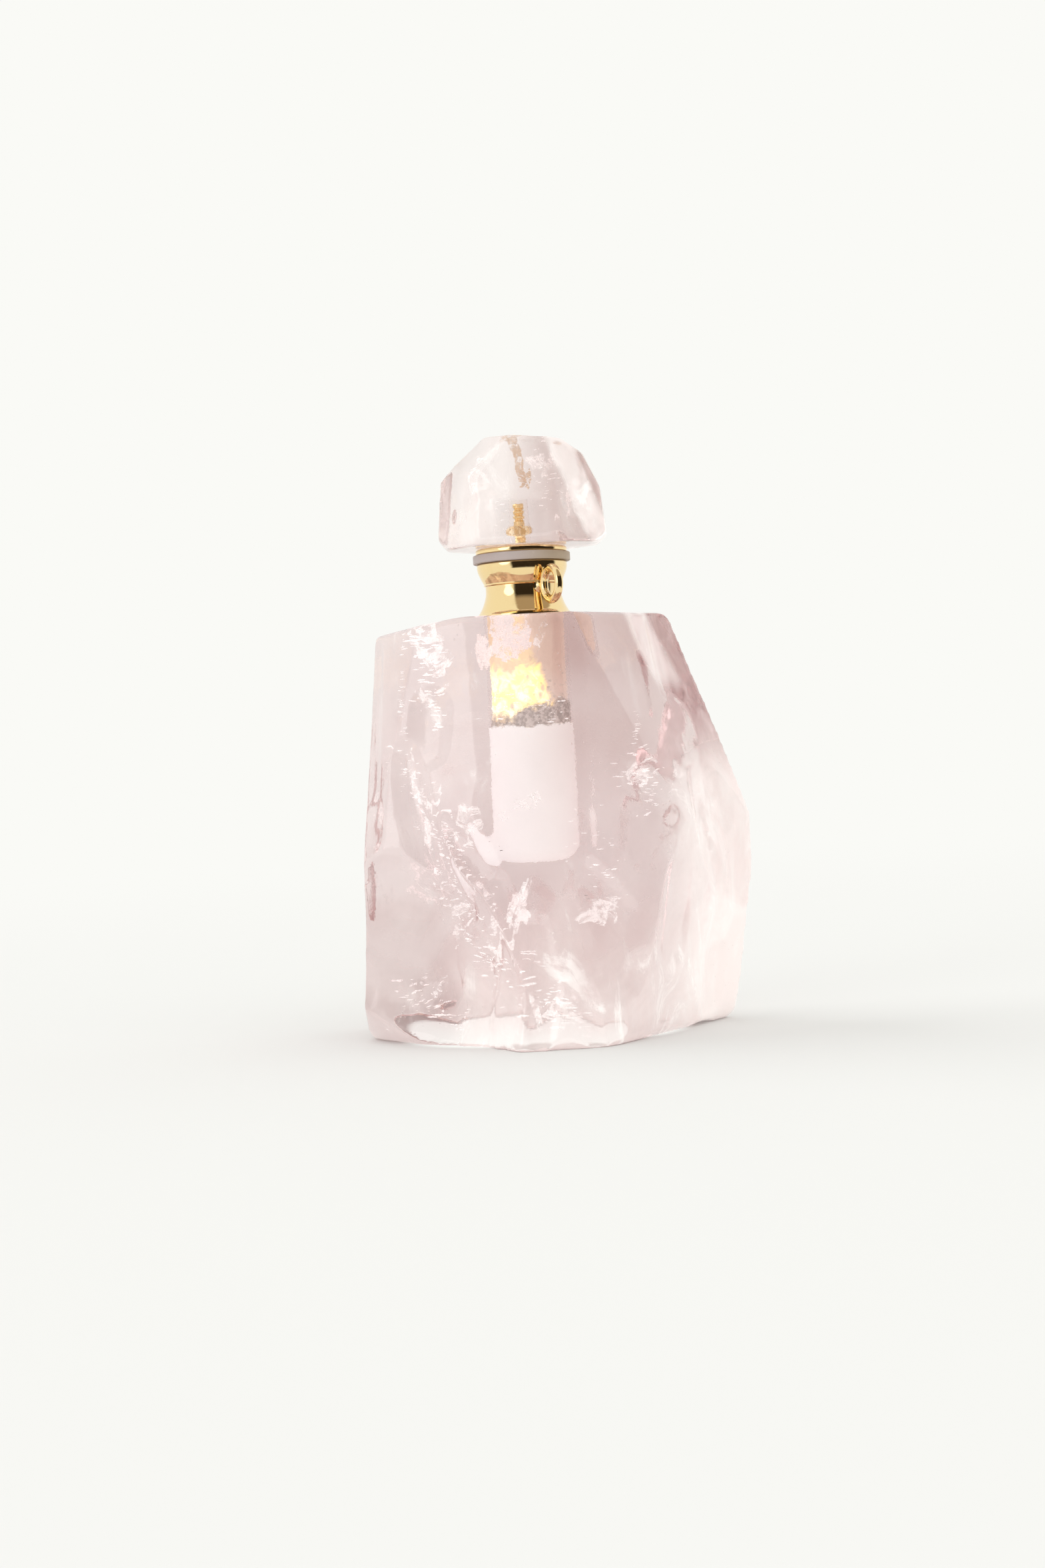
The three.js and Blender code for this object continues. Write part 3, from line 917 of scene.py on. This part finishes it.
@dataclass(frozen=True)
class Crack:
    """One healed crack: a thin, wavy, ragged sheet inside a stone. Millimetres and degrees.

    Attributes:
        centre: Its middle.
        size: Width and height.
        turn: Degrees about the vertical, 0 facing the front.
        lean: Degrees that its top leans back.
        roll: Degrees that it turns in its own plane.
        wave: Height of its waves.
    """

    centre: tuple[float, float, float]
    size: tuple[float, float]
    turn: float = 0.0
    lean: float = 0.0
    roll: float = 0.0
    wave: float = 1.0

    def add_to(self, bm: bmesh.types.BMesh, stone: BVHTree, thickness: float = 0.00006) -> None:
        """Adds the sheet, with a back and rims, to a mesh.

        Args:
            bm: The mesh of all cracks.
            stone: The stone's skin, which the sheet stays inside.
            thickness: How thick the sheet is.
        """
        sheet = bmesh.new()
        bmesh.ops.create_grid(sheet, x_segments=22, y_segments=22, size=0.5)
        seed = Vector(self.centre)
        ragged = [v for v in sheet.verts if v.co.length > 0.40 + 0.16 * noise.noise(v.co * 5.0 + seed)]
        bmesh.ops.delete(sheet, geom=ragged, context="VERTS")
        for vert in sheet.verts:
            vert.co.z = noise.noise(vert.co * 2.2 + seed) * self.wave / max(self.size)
        turn = (
            Matrix.Rotation(math.radians(self.turn), 4, "Z")
            @ Matrix.Rotation(math.radians(90.0 - self.lean), 4, "X")
            @ Matrix.Rotation(math.radians(self.roll), 4, "Z")
        )
        stretch = Matrix.Diagonal((self.size[0] * MM, self.size[1] * MM, max(self.size) * MM, 1.0))
        bmesh.ops.transform(sheet, verts=sheet.verts, matrix=Matrix.Translation(seed * MM) @ turn @ stretch)
        outside = [vert for vert in sheet.verts if not inside(stone, vert.co, 0.0004)]
        bmesh.ops.delete(sheet, geom=outside, context="VERTS")
        bmesh.ops.delete(sheet, geom=[vert for vert in sheet.verts if not vert.link_faces], context="VERTS")
        if sheet.faces:
            bmesh.ops.solidify(sheet, geom=sheet.faces, thickness=thickness)
            bmesh.ops.recalc_face_normals(sheet, faces=sheet.faces)
        loose = bpy.data.meshes.new("crack")
        sheet.to_mesh(loose)
        sheet.free()
        bm.from_mesh(loose)
        bpy.data.meshes.remove(loose)


@dataclass(frozen=True)
class Glints:
    """A cloud of tiny cracks round a line. Millimetres.

    Attributes:
        line: Its two ends.
        spread: How far they stray.
        count: How many there are.
        size: The largest one's width.
        seed: What scatters them.
    """

    line: tuple[tuple[float, float, float], tuple[float, float, float]]
    spread: float
    count: int
    size: float
    seed: int

    def add_to(self, bm: bmesh.types.BMesh, stone: BVHTree) -> None:
        """Adds the tiny cracks, each a flattened crystal, to a mesh wherever they are inside the stone."""
        dice = random.Random(self.seed)
        first, second = (Vector(end) for end in self.line)
        for _ in range(self.count):
            stray = Vector(dice.gauss(0.0, self.spread) for _ in range(3))
            spot = first.lerp(second, dice.random()) + stray
            size = self.size * dice.uniform(0.35, 1.5)
            if not inside(stone, spot * MM, size * 0.6 * MM):
                continue
            shape = Matrix.Diagonal((size, size * dice.uniform(0.07, 0.24), 0.05, 1.0))
            turn = Matrix.Rotation(dice.uniform(0, math.tau), 4, "Z") @ Matrix.Rotation(dice.uniform(0.6, 2.4), 4, "X")
            place = Matrix.Scale(MM, 4) @ Matrix.Translation(spot) @ turn @ shape
            bmesh.ops.create_icosphere(bm, subdivisions=1, radius=0.5, matrix=place)


@dataclass
class Inclusions:
    """Everything that shows inside one stone, as one piece."""

    name: str
    cracks: tuple[Crack, ...]
    glints: tuple[Glints, ...]

    def build(self, stone: bpy.types.Object) -> bpy.types.Object:
        """Makes the piece, inside the given stone."""
        tree = BVHTree.FromObject(stone, bpy.context.evaluated_depsgraph_get())
        bm = bmesh.new()
        for item in (*self.cracks, *self.glints):
            item.add_to(bm, tree)
        return object_from(self.name, bm)


# ---- The bottle ---------------------------------------------------------------------------------


@dataclass
class Flacon:
    """The stone block with its bore, and what is inside the stone."""

    gap: float = 0.0001
    corner: float = 0.0036
    floor: float = 0.0354
    cracks: tuple[Crack, ...] = (
        Crack((-17.5, -8, 78), (9, 16), turn=-22, roll=8, wave=2),
        Crack((-20, -7, 70), (6, 7), turn=-25, roll=-20, wave=1.5),
        Crack((1.2, -10.8, 77), (2.4, 21), turn=-10, roll=-22, wave=1.0),
        Crack((-3, -12.5, 47), (13, 4.5), turn=-10, lean=-10, roll=28, wave=1.2),
        Crack((-13, -12, 44), (8, 12), turn=-30, lean=15, wave=2.5),
        Crack((-22, -7, 53), (6, 16), turn=-35, roll=12, wave=2),
        Crack((35, 0, 44), (10, 20), turn=45, lean=15, wave=3),
        Crack((38, 2, 30), (8, 18), turn=60, lean=-15, wave=3),
        Crack((20.5, -9, 53), (10, 9), turn=25, lean=20, roll=20, wave=2),
        Crack((29, -5, 52), (6, 3), turn=30, lean=20, wave=1),
        Crack((-5, -12, 24), (9, 22), turn=-50, lean=10, roll=-18, wave=2.5),
        Crack((-14, -4, 26), (12, 14), turn=-40, lean=20, wave=3),
        Crack((-5.5, -20.5, 26), (2.4, 20), turn=-10, roll=-24, wave=1),
        Crack((-2, -22.5, 8), (2.0, 14), turn=-10, roll=12, wave=1),
        Crack((-20, -9, 45), (3.0, 20), turn=-35, roll=-20, wave=1),
        Crack((12, -14, 26), (16, 10), turn=15, lean=35, wave=3),
        Crack((2, -16, 8), (12, 10), turn=10, lean=30, wave=3),
        Crack((-22, 0, 12), (14, 8), turn=-45, lean=30, wave=2),
        Crack((-18, 14, 40), (16, 24), turn=-30, lean=-10, wave=4),
    )
    glints: tuple[Glints, ...] = (
        Glints(((-25, -6, 58), (-15, -7, 34)), 1.8, 120, 1.8, 3),
        Glints(((-14, -7, 32), (-7, -12, 12)), 2.4, 130, 2.0, 4),
        Glints(((-8, -10, 68), (6, -11, 65)), 1.6, 60, 1.4, 5),
        Glints(((18, -9, 55), (24, -7, 47)), 2.2, 90, 1.8, 6),
        Glints(((34, 0, 50), (40, 3, 26)), 2.8, 130, 2.2, 7),
        Glints(((0, -18, 12), (6, -20, 3)), 2.0, 80, 2.0, 8),
        Glints(((-28, 8, 10), (-14, -4, 3)), 2.0, 70, 2.0, 9),
        Glints(((8, -12, 44), (14, -12, 30)), 3.0, 50, 1.2, 10),
        Glints(((-20, -8, 84), (-18, -9, 66)), 1.6, 110, 2.0, 12),
        Glints(((-9.8, -20.5, 41), (-6.4, -22.5, 27)), 0.35, 70, 1.5, 31),
        Glints(((-6.4, -22.5, 27), (-4.2, -23, 13)), 0.30, 60, 1.4, 32),
        Glints(((-4.2, -23, 13), (-5.4, -22.5, 3)), 0.35, 40, 1.4, 33),
        Glints(((22, -10, 71), (20, -11, 58)), 0.35, 40, 1.1, 34),
        Glints(((-24, -9, 84), (-25, -12, 62)), 0.30, 50, 1.1, 35),
    )
    veil: tuple[Crack, ...] = (
        Crack((-3.4, -10.0, 80.6), (11.5, 12), turn=-14, roll=-14, wave=0.7),
        Crack((-8.8, -8.4, 78), (5, 10), turn=-40, wave=0.6),
    )
    specks: tuple[Glints, ...] = (
        Glints(((-8.5, -19, 41), (-7.5, -19, 39)), 0.4, 4, 0.9, 13),
        Glints(((8.6, -19, 29.5), (9.2, -19, 28)), 0.3, 4, 0.7, 14),
        Glints(((38, -2, 30), (39, -2, 26)), 0.6, 5, 0.7, 15),
        Glints(((-33, 4, 66), (-33, 4, 50)), 0.5, 5, 0.9, 16),
    )

    def build(self) -> None:
        """Builds and dresses the block and its inclusions."""
        block = Stone("stone_body", BLOCK_FACES, BLOCK_HOLLOWS, BLOCK_FLAKES, 0.0008, 4, 0.00012, 34, (12, 26), 11)
        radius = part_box("sleeve_cement")[1].x + self.gap
        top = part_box("stone_body")[1].z
        corner = arc(radius - self.corner, self.floor + self.corner, self.corner, -90, 0)
        hole = [(0.0, self.floor), *corner, (radius, top + 0.005), (0.0, top + 0.005)]
        stone = block.drilled("quartz_block", hole)
        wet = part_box("sleeve_cement")[0].z + 0.0008
        quartz = RoseQuartz("rose_quartz", radius, self.floor, wet, top)
        dress(stone, Body.BOTTLE, quartz.paint(), "rose_quartz", "stone_body")
        self.fill(stone)

    def fill(self, stone: bpy.types.Object) -> None:
        """Builds what shows inside the block."""
        white = Veil("white_veil").paint()
        pink = Veil("pink_veil", (0.98, 0.89, 0.87), 0.92, 110.0, 0.40).paint()
        dark = Veil("dark_specks", (0.10, 0.05, 0.04), 1.0, 60.0, 0.0).paint()
        bright = Veil("bright_glints", cover=1.0, scale=500.0, glow=0.6).paint()
        parts = (
            ("block_veils", self.cracks, (), white), ("block_glints", (), self.glints, bright),
            ("neck_veil", self.veil, (), pink),
            ("block_specks", (), self.specks, dark),
        )
        for name, cracks, glints, finish in parts:
            dress(Inclusions(name, cracks, glints).build(stone), Body.BOTTLE, finish, "rose_quartz")


@dataclass
class Neck:
    """The bonded sleeve, its cement, the turned collar and its ring. Heights are above the collar's foot."""

    wall: float = 0.001
    cement_bead: float = 0.0015
    foot_edge: float = 0.0005
    waist: float = 0.00765
    step_radius: float = 0.0079
    step_height: float = 0.0066
    bead: float = 0.0004
    ring_wire: float = 0.00085

    def build(self) -> None:
        """Builds and dresses the neck's pieces."""
        gold = Gold("polished_gold").paint()
        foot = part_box("bore_sleeve")[0].z
        dress(self.sleeve(), Body.BOTTLE, SleeveGold("sleeve_gold", foot).paint(), "sleeve_brass", "bore_sleeve")
        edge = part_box("sleeve_cement")[0].z
        dress(self.cement(), Body.BOTTLE, SetCement("set_cement", edge).paint(), "cement", "sleeve_cement")
        dress(self.collar(), Body.BOTTLE, gold, "polished_brass", "neck_collar")
        dress(self.ring(), Body.BOTTLE, gold, "polished_brass", "tassel_ring")
        dress(self.lug(), Body.BOTTLE, gold, "polished_brass", "ring_lug")

    def sleeve(self) -> bpy.types.Object:
        """The drawn tube in the bore."""
        low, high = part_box("bore_sleeve")
        outer, inner = high.x, high.x - self.wall
        lip = 0.0002
        outline = [(inner, low.z + lip), (inner + lip, low.z), (outer - lip, low.z), (outer, low.z + lip),
                   (outer, high.z - lip), (outer - lip, high.z), (inner + lip, high.z), (inner, high.z - lip)]
        return object_from("bore_sleeve_tube", turned(outline))

    def cement(self) -> bpy.types.Object:
        """The cement round the sleeve, squeezed out below it in an uneven bead."""
        low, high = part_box("sleeve_cement")
        sleeve_low, sleeve_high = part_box("bore_sleeve")
        inner, outer = sleeve_high.x + 0.00008, high.x
        under = sleeve_low.z - 0.0001
        throat = sleeve_high.x - self.wall
        bead = [(throat + 0.0004, under), (throat + 0.0003, under - 0.0006), (throat + 0.0006, low.z + 0.0003),
                (throat + 0.0012, low.z + 0.0001), (outer, low.z + 0.0004)]
        bm = turned([*bead, (outer, high.z), (inner, high.z), (inner, under)], 144)
        for vert in bm.verts:
            if vert.co.z < under - 0.0002:
                vert.co.z += 0.0006 * noise.noise(vert.co * 700.0)
        return object_from("cement_bead", bm)

    def collar(self) -> bpy.types.Object:
        """The turned collar: flared foot, waist, crisp step, cone, bead and spigot."""
        low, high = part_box("neck_collar")
        seal_low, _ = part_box("stopper_seal")
        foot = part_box("stone_body")[1].z + 0.00005
        bore = 0.0061
        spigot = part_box("bore_sleeve")[1].x - self.wall - 0.0001
        flare = curve_through([
            (high.x, foot + self.foot_edge), (high.x - 0.0006, foot + 0.0011), (0.0084, foot + 0.0024),
            (0.0079, foot + 0.0038), (self.waist, foot + 0.0050), (self.waist, foot + self.step_height - 0.0002),
        ])
        rim, step = high.z, foot + self.step_height
        cone = curve_through([
            (self.step_radius, step + 0.0003), (0.00835, step + 0.0011), (0.00872, step + 0.0019),
            (0.00903, step + 0.0027), (0.00918, step + 0.0034),
        ], 4)
        outline = [
            (bore, low.z), (spigot - 0.0003, low.z), (spigot, low.z + 0.0003), (spigot, foot), (high.x - 0.0001, foot),
            (high.x, foot + 0.0001), *flare, (self.step_radius + 0.0001, step), *cone,
            *arc(0.0092 - self.bead, rim - self.bead, self.bead, 0, 88, 8), (bore + 0.0004, rim), (bore, rim - 0.0004),
        ]
        return object_from("neck_collar_turned", turned(outline, 160), 28.0)

    def ring(self) -> bpy.types.Object:
        """The wire ring, standing out from the waist."""
        middle, outward, radius = self._ring_place()
        bm = bmesh.new()
        wire = bmesh.ops.create_circle(bm, segments=20, radius=self.ring_wire)["verts"]
        stand = Matrix.Rotation(math.radians(90), 4, "X")
        bmesh.ops.transform(bm, verts=wire, matrix=Matrix.Translation((radius, 0, 0)) @ stand)
        geom = [*bm.verts, *bm.edges]
        bmesh.ops.spin(bm, geom=geom, cent=(0, 0, 0), axis=(0, 0, 1), angle=math.tau, steps=64, use_merge=True)
        bmesh.ops.remove_doubles(bm, verts=bm.verts, dist=1e-7)
        bmesh.ops.recalc_face_normals(bm, faces=bm.faces)
        turn = Matrix.Rotation(math.atan2(outward.y, outward.x), 4, "Z") @ Matrix.Rotation(math.radians(90), 4, "X")
        bmesh.ops.transform(bm, verts=bm.verts, matrix=Matrix.Translation(middle) @ turn)
        return object_from("tassel_ring_wire", bm)

    def _ring_place(self) -> tuple[Vector, Vector, float]:
        """The ring's middle, the way it stands out, and its wire's radius of turn."""
        low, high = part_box("tassel_ring")
        middle = (low + high) / 2
        outward = Vector((middle.x, middle.y, 0)).normalized()
        return middle, outward, (high.z - low.z) / 2 - self.ring_wire

    def lug(self) -> bpy.types.Object:
        """The brazed fillet between waist and ring."""
        middle, outward, radius = self._ring_place()
        start = self.waist + 0.0001
        end = Vector((middle.x, middle.y, 0)).length - radius - self.ring_wire * 0.7
        length = end - start
        outline = [(0.0, 0.0), (0.0015, 0.0), (0.0012, length * 0.25), (0.00085, length * 0.6), (0.00075, length), (0.0, length)]
        bm = turned(outline, 32)
        lay = Matrix.Rotation(math.atan2(outward.y, outward.x), 4, "Z") @ Matrix.Rotation(math.radians(90), 4, "Y")
        place = Matrix.Translation(outward * start + Vector((0, 0, middle.z)))
        bmesh.ops.transform(bm, verts=bm.verts, matrix=place @ lay)
        return object_from("ring_braze", bm)


@dataclass
class Stopper:
    """The seal, and the plug with its stud, knob and dabber."""

    rib: float = 0.00035
    shank_gap: float = 0.00007
    socket: float = 0.0016
    socket_depth: float = 0.006
    boss: float = 0.0036
    boss_height: float = 0.0036
    stud: float = 0.00115
    rod: float = 0.0015
    cracks: tuple[Crack, ...] = (
        Crack((-6.5, -6, 112), (5, 15), turn=-40, roll=6, wave=1.2),
        Crack((4, -5, 115), (8, 7), turn=20, lean=20, wave=1.2),
        Crack((9, -2, 108), (7, 12), turn=50, lean=-10, wave=1.4),
    )
    glints: tuple[Glints, ...] = (
        Glints(((-8, -6, 117), (-4, -7, 103)), 1.2, 30, 1.1, 21),
        Glints(((3, -5, 118), (6, -5, 108)), 1.6, 40, 1.2, 22),
    )

    def build(self) -> None:
        """Builds and dresses the stopper's pieces."""
        gold = bpy.data.materials["polished_gold"]
        dress(self.seal(), Body.SEAL, Silicone("grey_silicone").paint(), "seal_silicone", "stopper_seal")
        dress(self.plug(), Body.STOPPER, gold, "polished_brass", "stopper_plug")
        dress(self.knob_stud(), Body.STOPPER, gold, "polished_brass", "knob_stud")
        dress(self.resin(), Body.STOPPER, ClearResin("clear_resin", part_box("stopper_plug")[1].z).paint(), "clear_cement", "stud_cement")
        dress(self.dabber(), Body.STOPPER, DabberGlass("dabber_glass").paint(), "dabber_glass", "dabber_rod")
        knob = dress(self.knob(), Body.STOPPER, self.knob_quartz().paint(), "rose_quartz_knob", "knob_stone")
        for name, cracks, glints, look in (
            ("knob_veils", self.cracks, (), "white_veil"), ("knob_glints", (), self.glints, "bright_glints"),
        ):
            finish = bpy.data.materials[look]
            dress(Inclusions(name, cracks, glints).build(knob), Body.STOPPER, finish, "rose_quartz_knob")
        rust = Veil("iron_stain", (0.86, 0.56, 0.28), 0.7, 420.0, 0.2).paint()
        dress(self.stain(knob), Body.STOPPER, rust, "rose_quartz_knob")

    def seal(self) -> bpy.types.Object:
        """The washer and its ribbed sleeve."""
        low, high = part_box("stopper_seal")
        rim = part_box("neck_collar")[1].z + 0.00003
        outer, bore, edge = 0.0061 - 0.00007, 0.005, 0.00022
        ribs = [point for drop in (0.0076, 0.005, 0.0024) for point in arc(outer - self.rib, rim - drop, self.rib, -90, 90, 6)]
        outline = [
            (bore, low.z), (outer - self.rib - 0.0003, low.z), (outer - self.rib, low.z + 0.0005), *ribs,
            (outer - self.rib, rim), (high.x - edge, rim), *arc(high.x - edge, rim + edge, edge, -90, 0, 4),
            *arc(high.x - edge, high.z - edge, edge, 0, 90, 4), (bore, high.z),
        ]
        return object_from("seal_washer", turned(outline))

    def plug(self) -> bpy.types.Object:
        """The flange, the cone above it and the shank below it."""
        low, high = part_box("stopper_plug")
        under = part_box("stopper_seal")[1].z + 0.00003
        top = high.z - self.boss_height
        shank, edge = 0.005 - self.shank_gap, 0.0003
        hole, deep = self.stud + 0.0001, high.z - self.boss_height - 0.0015
        outline = [
            (0.0, low.z + self.socket_depth), (self.socket, low.z + self.socket_depth), (self.socket, low.z),
            (shank - 0.0004, low.z), (shank, low.z + 0.0004), (shank, under), (high.x - 0.0001, under),
            *arc(high.x - edge, under + edge, edge, -40, 0, 3), *arc(high.x - edge, top - edge, edge, 0, 90, 6),
            (self.boss, top), (hole + 0.0005, high.z), (hole, high.z), (hole, deep), (0.0, deep),
        ]
        return object_from("plug_turned", turned(outline), 28.0)

    def knob_stud(self) -> bpy.types.Object:
        """The stud with its three glue grooves."""
        low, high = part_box("knob_stud")
        grooves = [
            point for height in (0.1044, 0.1054, 0.1064)
            for point in ((self.stud, height - 0.0003), (self.stud - 0.00025, height - 0.0001),
                          (self.stud - 0.00025, height + 0.0001), (self.stud, height + 0.0003))
        ]
        tip = arc(self.stud - 0.0003, high.z - 0.0003, 0.0003, 0, 90, 4)
        return object_from("stud_turned", turned([(0.0, low.z), (self.stud, low.z), *grooves, *tip, (0.0, high.z)], 48))

    def _knob_hole(self, less: float) -> list[tuple[float, float]]:
        """Half of the knob's countersunk hole, with less taken off its radii."""
        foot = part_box("knob_stone")[0].z
        cone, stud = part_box("stopper_plug")[1].z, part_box("knob_stud")[1].z
        return [(0.0045 - less, foot), (0.0021 - less, cone + 0.0006), (0.0019 - less, stud + 0.0009 - less)]

    def resin(self) -> bpy.types.Object:
        """The resin round the stud and the cone."""
        low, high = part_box("stud_cement")
        cone, stud_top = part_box("stopper_plug")[1].z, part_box("knob_stud")[1].z
        stud = self.stud + 0.0001
        outside = self._knob_hole(0.0001)
        outside[0] = (outside[0][0], low.z)
        outline = [(0.0, stud_top + 0.0001), (stud, stud_top + 0.0001), (stud, cone + 0.0001),
                   (stud + 0.0006, cone + 0.0001), (self.boss + 0.00015, low.z), *outside, (0.0, high.z)]
        return object_from("stud_resin", turned(outline, 96))

    def dabber(self) -> bpy.types.Object:
        """The glass rod with its drop tip."""
        low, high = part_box("dabber_rod")
        tip = high.x
        drop = curve_through([(tip * 0.71, low.z + tip * 1.72), (self.rod * 1.03, low.z + tip * 2.3), (self.rod, low.z + tip * 3.0)])
        outline = [(0.0, low.z), *arc(0.0, low.z + tip, tip, -86, 42, 12), *drop, (self.rod, high.z - 0.0003),
                   (self.rod - 0.0003, high.z), (0.0, high.z)]
        return object_from("dabber_drawn", turned(outline, 64))

    def knob(self) -> bpy.types.Object:
        """The knob's stone."""
        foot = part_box("knob_stone")[0].z
        hole = self._knob_hole(0.0)
        outline = [(0.0, foot - 0.003), (hole[0][0], foot - 0.003), *hole, (0.0, hole[-1][1])]
        stone = Stone("knob_stone", KNOB_FACES, (), KNOB_FLAKES, 0.00045, 5, 0.00006, 16, (6, 12), 5)
        return stone.drilled("quartz_knob", outline)

    def knob_quartz(self) -> RoseQuartz:
        """The knob's finish: clearer than the block's."""
        foot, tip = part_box("knob_stone")[0].z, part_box("knob_stud")[1].z
        return RoseQuartz("rose_quartz_clear", 0.0021, foot - 0.001, foot - 0.001, tip + 0.0012, depth=6.0, cloud=0.40,
                          pale=0.18, window=tip + 0.0005, skin=(0.984, 0.950, 0.938),
                          flare=(foot + 0.004, 0.6))

    def stain(self, knob: bpy.types.Object) -> bpy.types.Object:
        """The iron stain that runs down the knob above the stud."""
        cracks = (
            Crack((0.5, -2.5, 116), (2.2, 11), turn=10, roll=4, wave=1.0),
            Crack((1.6, -3.0, 112.5), (2.6, 6), turn=-25, roll=-10, wave=0.8),
            Crack((-0.4, -2.0, 119), (2.4, 5), turn=30, lean=15, wave=0.6),
        )
        return Inclusions("iron_stain", cracks, ()).build(knob)


# ---- The studio ---------------------------------------------------------------------------------


@dataclass(frozen=True)
class SoftLight:
    """A broad, far light: where it comes from, its strength, how many degrees across, and if polish mirrors it."""

    name: str
    source: tuple[float, float, float]
    strength: float
    width: float
    mirrored: bool = False

    def hang(self) -> None:
        """Adds the light."""
        light = bpy.data.lights.new(self.name, "SUN")
        light.energy, light.angle = self.strength, math.radians(self.width)
        made = bpy.data.objects.new(self.name, light)
        made.visible_glossy = self.mirrored
        made.rotation_euler = Vector(self.source).to_track_quat("Z", "Y").to_euler()
        bpy.context.scene.collection.objects.link(made)


@dataclass
class Studio:
    """Table, air, lights and camera."""

    paper: tuple[float, float, float] = (0.956, 0.956, 0.922)
    table: tuple[float, float, float] = (0.792, 0.792, 0.785)
    dusk: tuple[float, float, float] = (0.030, 0.022, 0.016)
    tan: tuple[float, float, float] = (0.42, 0.34, 0.27)
    camera_distance: float = 0.48
    camera_height: float = 0.0594
    camera_across: float = -0.0022
    lens: float = 54.02
    pitch: float = -0.94
    roll: float = -3.0
    lights: tuple[SoftLight, ...] = (
        SoftLight("window", (-0.75, 0.30, 0.60), 0.85, 50.0),
        SoftLight("fill", (0.40, -0.70, 0.60), 0.25, 50.0),
        SoftLight("lamp", (-0.700, -0.676, 0.25), 0.26, 32.0, mirrored=True),
    )

    def build(self) -> None:
        """Sets the studio up."""
        self.air()
        self.floor()
        for light in self.lights:
            light.hang()
        self.camera()
        scene = bpy.context.scene
        scene.view_settings.view_transform = "Standard"
        scene.cycles.max_bounces, scene.cycles.glossy_bounces = 22, 14
        scene.cycles.transmission_bounces, scene.cycles.transparent_max_bounces = 18, 20

    @staticmethod
    def mirrored(paint: Paint) -> Tap:
        """1 for a ray that polish mirrored, 0 for one that is seen directly or through stone or glass."""
        passed = paint.node("ShaderNodeLightPath", out="Is Transmission Ray")
        return paint.node("ShaderNodeLightPath", out="Is Glossy Ray") * (1.0 - passed)

    def air(self) -> None:
        """White surroundings, with a dark room to the front right for polished metal to reflect."""
        world = bpy.data.worlds.new("studio_air")
        bpy.context.scene.world = world
        world.use_nodes = True
        paint = Paint("studio_air_nodes")
        bpy.data.materials.remove(paint.material)
        paint.tree = world.node_tree
        paint.tree.nodes.clear()
        x, y, z = paint.axes(paint.node("ShaderNodeTexCoord", out="Generated"))
        room = ((x * 0.53 - y * 0.848) / (1.0001 - z * z) ** 0.5).step(0.42, 0.56) * z.step(0.995, 0.96)
        mirrored = self.mirrored(paint)
        shade = paint.blend(room * mirrored, self.paper, paint.blend(z.step(0.50, 0.66), self.dusk, self.tan))
        background = paint.node("ShaderNodeBackground", values={"Color": shade, "Strength": 1.0})
        output = paint.tree.nodes.new("ShaderNodeOutputWorld")
        paint.tree.links.new(background.socket, output.inputs["Surface"])

    def floor(self) -> None:
        """The pale table, which fades into the air far from the bottle and glows under it, a painted pool of light."""
        bm = bmesh.new()
        bmesh.ops.create_circle(bm, cap_ends=True, segments=96, radius=6.0)
        made = object_from("floor", bm)
        paint = Paint("pale_table")
        x, y, _ = paint.axes(paint.place())
        reach = (x * x + y * y) ** 0.5
        far = reach.step(0.20, 0.8)
        # Painted light: an oval under the bottle glows like the paper, in place of light passing through the stone.
        under = ((x / 0.031) ** 2.0 + ((y - 0.003) / 0.022) ** 2.0).step(1.0, 0.7)
        grain = paint.noise(paint.place(), 900.0, 3.0)
        normal = paint.bump(grain, 0.05, 0.0001)
        near = paint.principled(Base_Color=self.table, Roughness=0.9, Specular_IOR_Level=0.0, Normal=normal)
        ahead = ((x * 0.53 - y * 0.848) / reach).step(0.42, 0.58) * reach.step(0.16, 0.28)
        mirrored = self.mirrored(paint)
        shade = paint.blend(ahead * mirrored, self.paper, self.dusk)
        glow = paint.node("ShaderNodeEmission", values={"Color": shade, "Strength": 1.0})
        share = far.most(under).most(ahead * mirrored)
        made.data.materials.append(paint.done(paint.node("ShaderNodeMixShader", values={0: share, 1: near, 2: glow})))

    def camera(self) -> None:
        """The camera: level with the upper half, tipped down a little and rolled."""
        lens = bpy.data.cameras.new("camera")
        lens.lens, lens.sensor_width, lens.clip_start = self.lens, 36.0, 0.01
        made = bpy.data.objects.new("camera", lens)
        turn = Matrix.Rotation(math.radians(90 + self.pitch), 4, "X") @ Matrix.Rotation(math.radians(self.roll), 4, "Z")
        made.matrix_world = Matrix.Translation((self.camera_across, -self.camera_distance, self.camera_height)) @ turn
        bpy.context.scene.collection.objects.link(made)
        bpy.context.scene.camera = made


def main() -> None:
    """Builds every piece in order."""
    logging.basicConfig(level=logging.INFO, format="%(name)s %(message)s")
    Studio().build()
    Flacon().build()
    Neck().build()
    Stopper().build()


if __name__ == "__main__":
    main()
